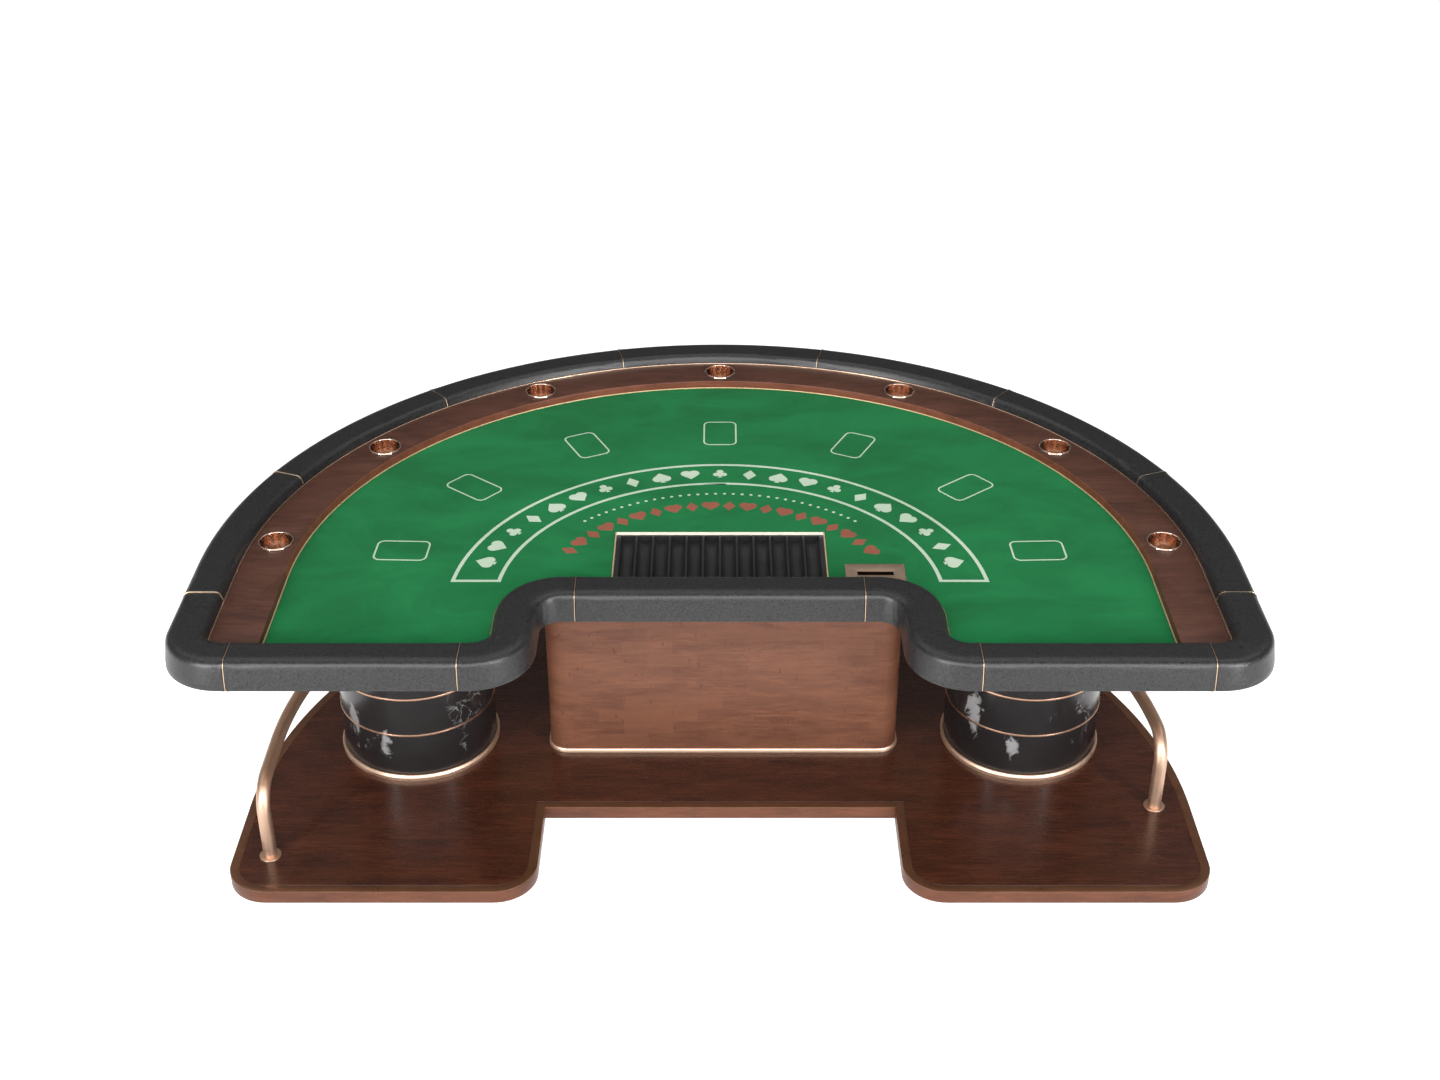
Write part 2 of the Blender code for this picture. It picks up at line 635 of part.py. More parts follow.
def buildDropBox():
    (x0, x1), (y0, y1), t, top = BOX_X, BOX_Y, BOX_T, BOX_TOP
    bottom, f = top - BOX_H, BOX_FLANGE
    box = slab("drop_box", [rect(x0, x1, y0, y1)], bottom, top)
    lid = slab("lid", [rect(x0 - f, x1 + f, y0, y1)], top - t, top, helper=True)
    combine(box, lid, "UNION")
    pull = slab("pull", [rect((x0 + x1) / 2 - 0.03, (x0 + x1) / 2 + 0.03, y0 - 0.012, y0 + t / 2)],
                bottom + 0.010, bottom + 0.014, helper=True)
    combine(box, pull, "UNION")
    room = slab("room", [rect(x0 + t, x1 - t, y0 + t, y1 - t)], bottom + t, top - t, helper=True)
    mouth = slab("mouth", [rect(SLOT_X[0] - 0.004, SLOT_X[1] + 0.004, SLOT_Y[0] - 0.004, SLOT_Y[1] + 0.004)],
                 top - 2 * t, top + t, helper=True)
    finish(combine(box, combine(room, mouth, "UNION"), "DIFFERENCE"), BLACK_STEEL)

    web, lip, roof = HANGER_T, HANGER_LIP, DECK_BOTTOM - GAP
    side = BOX_X[1] - BOX_X[0]
    gx = f + 0.001
    low = top - t - GAP - web
    section = [(-gx - web, roof), (-gx - web, low), (-gx + lip, low), (-gx + lip, low + web),
               (-gx, low + web), (-gx, roof - web), (side + gx, roof - web), (side + gx, low + web),
               (side + gx - lip, low + web), (side + gx - lip, low), (side + gx + web, low),
               (side + gx + web, roof)]
    hanger = swept("drop_box_hanger", section, [Vector((x0, y0)), Vector((x0, y1 + 0.004))])
    mouth = slab("opening", [rect(SLOT_X[0] - 0.006, SLOT_X[1] + 0.006, SLOT_Y[0] - 0.006, SLOT_Y[1] + 0.006)],
                 roof - 2 * web, roof + web, helper=True)
    stop = slab("stop", [rect(x0 - gx - web, x1 + gx + web, y1 + 0.001, y1 + 0.001 + web)], low, roof,
                helper=True)
    combine(hanger, mouth, "DIFFERENCE")
    finish(combine(hanger, stop, "UNION"), ZINC_STEEL)


# The foot rail
def railBend(x, y, sign):
    """Quarter turn from the top of a leg into the level rail; sign is +1 when the path climbs."""
    r = RAIL_BEND_R
    turn = [(x, y + r - r * math.cos(a), RAIL_Z - r + r * math.sin(a))
            for a in (math.radians(90 * i / ROUND_STEPS) for i in range(ROUND_STEPS + 1))]
    return turn if sign > 0 else list(reversed(turn))


def buildRail():
    foot, r = PLINTH_TOP + GAP, RAIL_R
    path = [(-r, RAIL_END_L, foot)] + railBend(-r, RAIL_END_L, 1)
    last = math.degrees(math.asin((RAIL_END_R + RAIL_BEND_R) / r))
    path += [(p.x, p.y, RAIL_Z) for p in arc(0, 0, r, 180, last, 36)]
    path += railBend(r, RAIL_END_R, -1)[1:] + [(r, RAIL_END_R, foot)]
    path = [Vector(p) for p in path]
    rail = curveFrom("foot_rail", [path], closed=False, flat=False)
    rail.data.bevel_depth = RAIL_TUBE_R
    rail.data.bevel_resolution = 2
    rail.data.use_fill_caps = True
    rail = toMesh(rail)
    for i, angle in enumerate(RAIL_POST_ANGLES):
        a = math.radians(angle)
        x, y = r * math.sin(a), r * math.cos(a)
        profile = [(0.0, RAIL_Z), (RAIL_POST_R, RAIL_Z), (RAIL_POST_R, foot + FLANGE_T),
                   (FLANGE_R, foot + FLANGE_T * 0.6), (FLANGE_R, foot), (0.0, foot)]
        post = toMesh(turned(f"post_{i}", profile, 12, helper=True), merge=0.00002)
        post.data.transform(Matrix.Translation((x, y, 0.0)))
        combine(rail, post, "UNION")
    finish(rail, ROSE_GOLD)
    for side, spot in (("l", (-r, RAIL_END_L)), ("r", (r, RAIL_END_R))):
        near = RAIL_TUBE_R + GAP
        profile = [(near, FLANGE_T), (near + 0.003, FLANGE_T), (FLANGE_R, FLANGE_T * 0.5), (FLANGE_R, 0.0),
                   (near, 0.0)]
        ring = turned("rail_flange_" + side, profile, 16, closed=True)
        finish(ring, ROSE_GOLD, foot, spot)


def main():
    clearScene()
    makeCollections()
    origin = bpy.data.objects.new("table_origin", None)
    origin.location = (0.0, -ARC_BACK, 0.0)
    collections["blackjack_table"].objects.link(origin)
    loop = tableLoop()
    buildPlinth(plinthLoop())
    for side, x in (("l", -COLUMN_X), ("r", COLUMN_X)):
        buildColumn(side, x)
    buildCabinet()
    buildUnderframe()
    trackEdge, front = buildDeck(loop)
    buildRaceTrack(loop, trackEdge, front)
    buildArmrest(loop)
    buildCups()
    buildTray()
    buildDropSlot()
    buildDropBox()
    buildRail()


main()
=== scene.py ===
import math
import bmesh
import bpy
from mathutils import Matrix, Vector


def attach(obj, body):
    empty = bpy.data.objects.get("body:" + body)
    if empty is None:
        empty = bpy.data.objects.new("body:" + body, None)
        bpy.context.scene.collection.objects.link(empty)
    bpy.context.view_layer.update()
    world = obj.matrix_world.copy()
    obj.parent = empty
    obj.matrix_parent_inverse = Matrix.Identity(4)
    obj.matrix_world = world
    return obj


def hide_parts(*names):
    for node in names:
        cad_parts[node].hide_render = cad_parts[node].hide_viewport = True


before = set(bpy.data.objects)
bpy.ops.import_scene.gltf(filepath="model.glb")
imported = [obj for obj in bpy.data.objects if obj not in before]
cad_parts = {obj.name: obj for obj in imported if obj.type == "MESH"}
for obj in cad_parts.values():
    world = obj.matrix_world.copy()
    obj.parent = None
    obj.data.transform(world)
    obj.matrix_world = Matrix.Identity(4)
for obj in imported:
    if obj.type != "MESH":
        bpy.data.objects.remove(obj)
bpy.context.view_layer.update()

up = Vector((0, 0, 1))
touch = 1e-5  # closer than this counts as the same place

# the table top, measured from the middle of the players' arc
plan = {
    "centreY": -0.442, "arcRadius": 1.344, "wingFront": 0.460, "dealerFront": 0.160,
    "cornerRadius": 0.155, "wingInside": 0.447, "hollowRadius": 0.053,
}
centre = Vector((0, plan["centreY"], 0))


def flat(x, y):
    return Vector((x, y, 0))


def atPlace(x, y):  # a place given from the middle of the players' arc
    return Vector((x, plan["centreY"] + y, 0))


def onArc(radius, degrees, middle=0.0):  # clockwise from the middle of the players' side
    a = math.radians(degrees)
    return atPlace(radius * math.sin(a), middle + radius * math.cos(a))


# an outline is its start and its moves: a line has a direction, a turn a centre and degrees
def line(x, y):
    return "line", flat(x, y), 0


def arc(at, degrees):
    return "turn", at, degrees


def tableMoves():  # clockwise from above, starting at the right end of the dealer's side
    y, corner, hollow = plan["centreY"], plan["cornerRadius"], plan["hollowRadius"]
    cornerY = y - plan["wingFront"] + corner
    hollowY = y - plan["dealerFront"] - hollow
    hx, kx, ox = plan["wingInside"] - hollow, plan["wingInside"] + corner, plan["arcRadius"] - corner
    return flat(hx, y - plan["dealerFront"]), [
        line(-2 * hx, 0), arc(flat(-hx, hollowY), 90), line(0, cornerY - hollowY),
        arc(flat(-kx, cornerY), -90), line(kx - ox, 0), arc(flat(-ox, cornerY), -90),
        line(0, y - cornerY), arc(centre, -180), line(0, cornerY - y),
        arc(flat(ox, cornerY), -90), line(kx - ox, 0), arc(flat(kx, cornerY), -90),
        line(0, hollowY - cornerY), arc(flat(hx, hollowY), 90)]


def afterMove(at, kind, a, b, share=1.0):
    if kind == "line":
        return at + a * share
    return a + Matrix.Rotation(math.radians(b * share), 3, "Z") @ (at - a)


def moveLength(at, kind, a, b):
    return a.length if kind == "line" else abs(math.radians(b)) * (at - a).length


def inwardAt(at, kind, a, b):  # to the right of the way the outline runs
    if kind == "line":
        return Vector((a.y, -a.x, 0)).normalized()
    return (a - at).normalized() * (1 if b < 0 else -1)


def placeOf(start, moves, target, parts=400):  # distance along the outline to the place nearest to target
    best, run, at = None, 0.0, start.copy()
    for move in moves:
        length = moveLength(at, *move)
        for i in range(parts + 1):
            gap = (afterMove(at, *move, i / parts) - target).length
            if best is None or gap < best[0]:
                best = (gap, run + length * i / parts)
        at, run = afterMove(at, *move), run + length
    return best[1], run


def cutMoves(start, moves, s0, s1):  # the stretch from s0 to s1 of a closed outline
    made, first, run, at = [], None, 0.0, start.copy()
    for lap in range(2):
        for kind, a, b in moves:
            length = moveLength(at, kind, a, b)
            low, high = max(s0, run), min(s1, run + length)
            if high > low + touch:
                t0, t1 = (low - run) / length, (high - run) / length
                if first is None:
                    spot = afterMove(at, kind, a, b, t0)
                    first = (spot, inwardAt(spot, kind, a, b))
                made.append((kind, a * (t1 - t0) if kind == "line" else a, b * (t1 - t0)))
            at, run = afterMove(at, kind, a, b), run + length
    return first, made


def linked(name, bm, material):
    mesh = bpy.data.meshes.new(name)
    bm.to_mesh(mesh)
    bm.free()
    mesh.materials.append(material)
    piece = bpy.data.objects.new(name, mesh)
    bpy.context.scene.collection.objects.link(piece)
    return piece


def newMesh(name, bm, finish, slot, *stoodFor, body="table", smooth=35):
    bmesh.ops.recalc_face_normals(bm, faces=bm.faces)
    piece = linked(name, bm, finishes[finish])
    piece.data.shade_smooth()
    piece.data.set_sharp_from_angle(angle=math.radians(smooth))
    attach(piece, body)
    if stoodFor:
        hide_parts(*stoodFor)
    return piece


# extrudes points or edges along lines and turns, and along bends, which turn about any axis
def grow(bm, verts, edges, moves, step, layer=None, lineStep=None):
    run = 0.0
    for kind, a, b in moves:
        at = sum((v.co for v in verts), Vector()) / len(verts)
        angle, axis = b if kind == "bend" else (b, up)
        if kind == "line":
            length = a.length
            count = math.ceil(length / (lineStep or step))
        else:
            length = abs(math.radians(angle)) * (at - a).cross(axis).length
            count = max(2, math.ceil(length / step))
        for i in range(count):
            if edges:
                made = bmesh.ops.extrude_edge_only(bm, edges=edges)["geom"]
                verts = [g for g in made if isinstance(g, bmesh.types.BMVert)]
                fresh = set(verts)
                edges = [g for g in made if isinstance(g, bmesh.types.BMEdge)
                         and g.verts[0] in fresh and g.verts[1] in fresh]
            else:
                verts = bmesh.ops.extrude_vert_indiv(bm, verts=verts)["verts"]
            if kind == "line":
                bmesh.ops.translate(bm, verts=verts, vec=a / count)
            else:
                turn = Matrix.Rotation(math.radians(angle / count), 3, axis)
                bmesh.ops.rotate(bm, verts=verts, cent=a, matrix=turn)
            if layer:
                run += length / count
                for v in verts:
                    v[layer] = run
    return verts, edges


# draws a section of (inward, height) points along an outline, with its length kept for the wood's grain
def sweep(section, first, moves, step=0.012, closed=False):
    bm = bmesh.new()
    along = bm.verts.layers.float.new("along")
    around = bm.verts.layers.float.new("around")
    spot, inward = first
    verts = [bm.verts.new(spot + inward * u + up * z) for u, z in section]
    edges = [bm.edges.new(pair) for pair in zip(verts, verts[1:] + verts[:1])]
    total = 0.0
    for v, edge in zip(verts, edges):
        v[around] = total
        total += edge.calc_length()
    lastEdges = grow(bm, verts, edges, moves, step, along)[1]
    length = max(v[along] for v in bm.verts)
    if closed:
        bmesh.ops.remove_doubles(bm, verts=bm.verts, dist=touch)
    else:
        bmesh.ops.contextual_create(bm, geom=edges)
        bmesh.ops.contextual_create(bm, geom=lastEdges)
    uv = bm.loops.layers.uv.new("surface")
    for face in bm.faces:
        sides = [loop.vert[around] for loop in face.loops]
        ends = [loop.vert[along] for loop in face.loops]
        for loop in face.loops:
            x, y = loop.vert[along], loop.vert[around]
            if max(sides) - min(sides) > total / 2 and y < total / 2:
                y += total
            if closed and max(ends) - min(ends) > length / 2 and x < length / 2:
                x += length
            loop[uv].uv = (x, y)
    return bm, along


def drawOutline(bm, start, moves, step=0.012):  # a closed flat outline, its straight sides in one piece
    first = bm.verts.new(start)
    before = set(bm.verts)
    grow(bm, [first], [], moves, step, lineStep=10.0)
    verts = [first] + [v for v in bm.verts if v not in before]
    bmesh.ops.remove_doubles(bm, verts=verts, dist=touch)
    return [v for v in verts if v.is_valid]


def level(edge, height):
    return all(abs(v.co.z - height) < touch for v in edge.verts)


def bevelled(bm, edges, width, segments, clamp=True):
    bmesh.ops.bevel(bm, geom=edges, offset=width, offset_type="OFFSET", segments=segments, profile=0.5,
                    affect="EDGES", material=-1, clamp_overlap=clamp)


def easeEdges(bm, chosen, width, segments):  # rounds the chosen edges where two faces meet at an angle
    edges = [e for e in bm.edges if len(e.link_faces) == 2 and e.calc_face_angle(0.0) > 0.9 and chosen(e)]
    bevelled(bm, edges, width, segments)


# the space between closed outlines becomes a board with eased top edges
def board(outlines, bottom, top, ease=0.0, segments=2):
    bm = bmesh.new()
    for outline in outlines:
        drawOutline(bm, *outline)
    bmesh.ops.triangle_fill(bm, use_beauty=True, use_dissolve=False, edges=bm.edges, normal=up)
    bmesh.ops.translate(bm, verts=bm.verts, vec=up * bottom)
    made = bmesh.ops.extrude_face_region(bm, geom=list(bm.faces))["geom"]
    raised = [g for g in made if isinstance(g, bmesh.types.BMVert)]
    bmesh.ops.translate(bm, verts=raised, vec=up * (top - bottom))
    bmesh.ops.recalc_face_normals(bm, faces=bm.faces)
    if ease:
        easeEdges(bm, lambda e: level(e, top), ease, segments)
    return bm


def turned(section, steps, at):  # section holds (radius, height) points
    bm = bmesh.new()
    verts = [bm.verts.new((r, 0, z)) for r, z in section]
    edges = [bm.edges.new(pair) for pair in zip(verts, verts[1:])]
    if section[0][0] or section[-1][0]:
        edges.append(bm.edges.new((verts[-1], verts[0])))
    bmesh.ops.spin(bm, geom=verts + edges, cent=(0, 0, 0), axis=up, angle=2 * math.pi, steps=steps,
                   use_merge=True, use_duplicate=False)
    bmesh.ops.remove_doubles(bm, verts=bm.verts, dist=touch)
    bmesh.ops.translate(bm, verts=bm.verts, vec=at)
    return bm


def together(parts):  # several bmeshes as one
    whole = bmesh.new()
    for part in parts:
        passing = bpy.data.meshes.new("passing")
        part.to_mesh(passing)
        part.free()
        whole.from_mesh(passing)
        bpy.data.meshes.remove(passing)
    return whole


def circleMoves(at, r, step):
    return at + flat(0, r), [arc(at, -360)], step


def rounded(x0, x1, y0, y1, r):  # clockwise round a rectangle with rounded corners
    return flat(x0, y0 + r), [
        line(0, y1 - y0 - 2 * r), arc(flat(x0 + r, y1 - r), -90), line(x1 - x0 - 2 * r, 0),
        arc(flat(x1 - r, y1 - r), -90), line(0, y0 - y1 + 2 * r), arc(flat(x1 - r, y0 + r), -90),
        line(x0 - x1 + 2 * r, 0), arc(flat(x0 + r, y0 + r), -90)]


def placedBox(x0, x1, y0, y1, r, step=0.001):  # the same, given from the middle of the players' arc
    y = plan["centreY"]
    return *rounded(x0, x1, y + y0, y + y1, r), step


def placePath(path, at, size, degrees, step):  # an outline scaled, turned and put at a place
    turn = Matrix.Rotation(math.radians(degrees), 3, "Z")
    start, moves = path
    return at + turn @ start * size, [(kind, turn @ a * size if kind == "line" else at + turn @ a * size, b)
                                      for kind, a, b in moves], step


# corners are (inward, height, radius), and most is the longest a straight part may be
def roundedSection(corners, steps=5, most=1.0, lift=0.0):
    points = []
    ring = [Vector((c[0], c[1])) for c in corners]
    for i, (p, corner) in enumerate(zip(ring, corners)):
        a, b, r = ring[i - 1] - p, ring[(i + 1) % len(ring)] - p, corner[2]
        if not r:
            points.append(p)
            continue
        half = a.angle(b) / 2
        toward = (a.normalized() + b.normalized()).normalized()
        middle = p + toward * (r / math.sin(half))
        start = p + a.normalized() * (r / math.tan(half)) - middle
        end = p + b.normalized() * (r / math.tan(half)) - middle
        swing = start.angle_signed(end)
        for k in range(steps + 1):
            points.append(middle + Matrix.Rotation(-swing * k / steps, 2) @ start)
    filled = []
    for p, q in zip(points, points[1:] + points[:1]):
        parts = max(1, math.ceil((q - p).length / most))
        filled += [p.lerp(q, k / parts) for k in range(parts)]
    return [(u, z + lift) for u, z in filled]


def colour(r, g, b):  # an sRGB colour of 0 to 255 as the linear one that a shader takes
    def linear(v):
        return v / 255 / 12.92 if v < 11 else ((v / 255 + 0.055) / 1.055) ** 2.4
    return (linear(r), linear(g), linear(b), 1.0)


def startFinish(name, **sockets):
    made = bpy.data.materials.new(name)
    made.use_nodes = True
    shader = made.node_tree.nodes["Principled BSDF"]
    for socket, value in sockets.items():
        shader.inputs[socket.replace("_", " ")].default_value = value
    return made, made.node_tree, shader


def put(tree, kind, values, **settings):
    made = tree.nodes.new("ShaderNode" + kind)
    for name, value in settings.items():
        setattr(made, name, value)
    for socket, value in values.items():
        if isinstance(value, bpy.types.NodeSocket):
            tree.links.new(value, made.inputs[socket])
        else:
            made.inputs[socket].default_value = value
    return made


def join(tree, output, shader, socket):
    tree.links.new(output, shader.inputs[socket])


def surface(tree, scale=(1, 1, 1), source="Object", turn=(0, 0, 0)):
    found = put(tree, "TexCoord", {}).outputs[source]
    return put(tree, "Mapping", {"Vector": found, "Scale": scale, "Rotation": turn}).outputs[0]


def grain(tree, where, scale=1.0, detail=4.0, rough=0.5, distort=0.0):
    return put(tree, "TexNoise", {"Vector": where, "Scale": scale, "Detail": detail, "Roughness": rough,
                                  "Distortion": distort}).outputs["Fac"]


def cells(tree, where, scale):  # lines between cells lie where this is near 0
    return put(tree, "TexVoronoi", {"Vector": where, "Scale": scale},
               feature="DISTANCE_TO_EDGE").outputs["Distance"]


def ramp(tree, factor, *stops):
    made = put(tree, "ValToRGB", {"Fac": factor})
    marks = made.color_ramp.elements
    for i, (at, tone) in enumerate(stops):
        mark = marks[i] if i < 2 else marks.new(at)
        mark.position = at
        mark.color = tone if isinstance(tone, tuple) else (tone, tone, tone, 1.0)
    return made.outputs["Color"]


def mixed(tree, factor, a, b, way="MIX"):
    return put(tree, "Mix", {0: factor, 6: a, 7: b}, data_type="RGBA", blend_type=way).outputs[2]


def sums(tree, way, a, b):
    return put(tree, "Math", {0: a, 1: b}, operation=way).outputs[0]


def spread(tree, value, low, high, fromLow=0.0, fromHigh=1.0):
    return put(tree, "MapRange", {"Value": value, "From Min": fromLow, "From Max": fromHigh,
                                  "To Min": low, "To Max": high}).outputs[0]


def bumped(tree, height, depth, strength=1.0, under=None):
    values = {"Height": height, "Distance": depth, "Strength": strength}
    if under:
        values["Normal"] = under
    return put(tree, "Bump", values).outputs["Normal"]


def leatherFinish():
    look = {"cover": colour(11, 11, 12), "worn": colour(43, 43, 44), "roughness": 0.31, "poreScale": 420.0}
    made, tree, shader = startFinish("leatherette", Specular_IOR_Level=0.45)
    place = surface(tree)
    creases = ramp(tree, cells(tree, place, look["poreScale"]), (0.0, 0.0), (0.16, 1.0))
    soft = grain(tree, place, 14, 3)
    cloudy = grain(tree, place, 190, 6, 0.75)
    blotch = mixed(tree, spread(tree, cloudy, 0.0, 1.0, 0.36, 0.64), look["cover"], look["worn"])
    join(tree, mixed(tree, 0.15, blotch, creases, "MULTIPLY"), shader, "Base Color")
    glossy = spread(tree, cloudy, look["roughness"] - 0.04, look["roughness"] + 0.05, 0.36, 0.64)
    join(tree, glossy, shader, "Roughness")
    pebbled = bumped(tree, creases, 0.0001, 0.6)
    fine = bumped(tree, cloudy, 0.0006, 0.6, pebbled)
    join(tree, bumped(tree, soft, 0.004, 0.2, fine), shader, "Normal")
    return made


def woodFinish(name, **own):  # the grain runs along the first coordinate
    look = {"clouds": 0.4, "ticks": 0.0, "staves": 0.0, "specular": 0.3, "coat": 0.0, "source": "Object"}
    look.update(own)
    dark, mid, light, pore = (colour(*look[tone]) for tone in ("dark", "mid", "light", "pore"))
    made, tree, shader = startFinish(name, Coat_Weight=look["coat"], Coat_Roughness=0.1,
                                     Specular_IOR_Level=look["specular"])
    place = surface(tree, source=look["source"])
    wander = sums(tree, "MULTIPLY", grain(tree, surface(tree, (1.1, 5, 5), look["source"]), 1.0, 2), 0.05)
    wander = put(tree, "CombineXYZ", {"Y": wander, "Z": wander}).outputs[0]
    drift = put(tree, "VectorMath", {0: wander, 1: place}, operation="ADD").outputs[0]

    def along(x, y):
        return put(tree, "Mapping", {"Vector": drift, "Scale": (x, y, y)}).outputs[0]

    def toward(tones, tone, share):
        return mixed(tree, share, tones, tone)

    bands = grain(tree, along(5, 21), 1.0, 5, 0.6, 0.5)
    streaks = grain(tree, along(12, 120), 1.0, 6, 0.68, 0.4)
    fibre = grain(tree, along(40, 600), 1.0, 3, 0.6)
    pores = ramp(tree, grain(tree, along(60, 420), 1.0, 2, 0.5), (0.62, 0.0), (0.70, 1.0))
    clouds = grain(tree, along(7, 15), 1.0, 4, 0.6)
    figure = sums(tree, "ADD", sums(tree, "MULTIPLY", bands, 0.5), sums(tree, "MULTIPLY", streaks, 0.5))
    tones = ramp(tree, figure, (0.36, dark), (0.64, light), (0.50, mid))
    tones = toward(tones, light, spread(tree, clouds, 0.0, look["clouds"], 0.35, 0.7))
    tones = toward(tones, dark, spread(tree, fibre, 0.0, look["fibre"], 0.35, 0.75))
    tones = toward(tones, pore, sums(tree, "MULTIPLY", pores, look["pores"]))
    if look["staves"]:  # short strips glued side by side
        blocks = put(tree, "TexBrick", {"Vector": drift, "Color1": (0, 0, 0, 1), "Color2": (1, 1, 1, 1),
                                        "Scale": 1.0, "Mortar Size": 0.0, "Brick Width": 0.14,
                                        "Row Height": 0.045}).outputs["Color"]
        tones = toward(tones, light, sums(tree, "MULTIPLY", blocks, look["staves"]))
    if look["ticks"]:  # short marks across the grain
        ticks = ramp(tree, grain(tree, along(120, 34), 1.0, 2, 0.5, 0.6), (0.66, 0.0), (0.74, 1.0))
        tones = toward(tones, pore, sums(tree, "MULTIPLY", ticks, look["ticks"]))
    join(tree, tones, shader, "Base Color")
    join(tree, spread(tree, streaks, look["roughness"] - 0.05, look["roughness"] + 0.08, 0.3, 0.7),
         shader, "Roughness")
    ridges = bumped(tree, fibre, 0.00012, 0.5)
    join(tree, bumped(tree, pores, -0.00015, 0.5, ridges), shader, "Normal")
    return made


def metalFinish(name, tone, roughness, tarnish=0.12, brushed=None, metallic=1.0):
    made, tree, shader = startFinish(name, Metallic=metallic)
    tone = colour(*tone)
    place = surface(tree)
    smears = grain(tree, place, 9, 4, 0.6)
    darker = tuple(c * (1 - tarnish * 2) for c in tone[:3]) + (1.0,)
    join(tree, mixed(tree, spread(tree, smears, 0.0, 1.0, 0.35, 0.75), tone, darker), shader, "Base Color")
    marks = grain(tree, surface(tree, brushed), 1.0, 3, 0.6) if brushed else grain(tree, place, 240, 3, 0.6)
    join(tree, spread(tree, marks, roughness * 0.8, roughness * 1.35, 0.3, 0.7), shader, "Roughness")
    join(tree, bumped(tree, marks, 0.00001, 0.4), shader, "Normal")
    return made


def feltFinish(name, shade, bright, fibre, fleck):
    made, tree, shader = startFinish(name, Sheen_Weight=0.02, Sheen_Roughness=0.6, Roughness=0.95,
                                     Specular_IOR_Level=0.12)
    nap = grain(tree, surface(tree), 520, 4, 0.7)
    brushed = grain(tree, surface(tree, (3.2, 5.5, 4)), 1.0, 4, 0.6, 0.6)
    wool = grain(tree, surface(tree, (160, 260, 200), turn=(0, 0, 0.5)), 1.0, 5, 0.7, 0.8)
    tones = mixed(tree, spread(tree, brushed, 0.0, 1.0, 0.36, 0.64), colour(*shade), colour(*bright))
    tones = mixed(tree, spread(tree, nap, 0.0, fleck, 0.4, 0.7), tones, colour(*fibre))
    join(tree, tones, shader, "Base Color")
    loose = bumped(tree, wool, 0.0007, 0.5)
    join(tree, bumped(tree, nap, 0.0004, 0.6, loose), shader, "Normal")
    return made


def marbleFinish(name, patches):  # ragged pale patches near the given places, and thin crossing veins
    look = {"ground": colour(27, 26, 27), "cloud": colour(39, 38, 38), "vein": colour(146, 145, 146)}
    made, tree, shader = startFinish(name, Coat_Weight=0.15, Coat_Roughness=0.12)
    place = surface(tree)
    warp = put(tree, "TexNoise", {"Vector": place, "Scale": 7.0, "Detail": 5.0, "Roughness": 0.6})
    bent = put(tree, "VectorMath", {0: warp.outputs["Color"], 3: 0.3}, operation="SCALE").outputs[0]
    bent = put(tree, "VectorMath", {0: bent, 1: place}, operation="ADD").outputs[0]
    thin = ramp(tree, cells(tree, bent, 5.2), (0.0, 1.0), (0.018, 0.0))
    marks = sums(tree, "MULTIPLY", thin, ramp(tree, grain(tree, place, 6.5, 3), (0.60, 0.0), (0.70, 0.7)))
    torn = grain(tree, surface(tree, (28, 28, 20)), 1.0, 8, 0.72, 0.9)
    cracks = sums(tree, "MULTIPLY", ramp(tree, cells(tree, bent, 13.0), (0.0, 1.0), (0.045, 0.0)),
                  spread(tree, torn, 0.0, 1.0, 0.44, 0.56))
    for x, y, z, width, height, lean, cracked in patches:
        local = put(tree, "Mapping", {"Vector": place, "Location": (-x, -y, -z)}).outputs[0]
        local = put(tree, "Mapping", {"Vector": local, "Rotation": (0, lean, 0),
                                      "Scale": (1 / width, 0.6 / width, 1 / height)}).outputs[0]
        far = put(tree, "VectorMath", {0: local}, operation="LENGTH").outputs["Value"]
        near = spread(tree, far, 0.54, 0.0, 0.0, 1.25)
        if cracked:
            patch = sums(tree, "MULTIPLY", cracks, ramp(tree, near, (0.05, 0.0), (0.3, 0.8)))
        else:
            patch = ramp(tree, sums(tree, "ADD", near, torn), (0.82, 0.0), (0.93, 0.75), (0.87, 0.4))
        marks = sums(tree, "MAXIMUM", marks, patch)
    clouds = spread(tree, grain(tree, bent, 3, 6, 0.6), 0.0, 1.0, 0.45, 0.8)
    ground = mixed(tree, clouds, look["ground"], look["cloud"])
    join(tree, mixed(tree, marks, ground, look["vein"]), shader, "Base Color")
    join(tree, spread(tree, torn, 0.20, 0.28, 0.3, 0.7), shader, "Roughness")
    return made


def paintFinish(name, tone, roughness, metallic=0.0, depth=0.0002):
    made, tree, shader = startFinish(name, Metallic=metallic)
    tone = colour(*tone)
    place = surface(tree)
    pebbles = grain(tree, place, 700, 3, 0.6)
    dust = grain(tree, place, 11, 5, 0.65)
    lighter = tuple(c * 1.35 + 0.002 for c in tone[:3]) + (1.0,)
    join(tree, mixed(tree, spread(tree, dust, 0.0, 1.0, 0.4, 0.75), tone, lighter), shader, "Base Color")
    join(tree, spread(tree, dust, roughness - 0.05, roughness + 0.1, 0.3, 0.7), shader, "Roughness")
    join(tree, bumped(tree, pebbles, depth, 0.5), shader, "Normal")
    return made


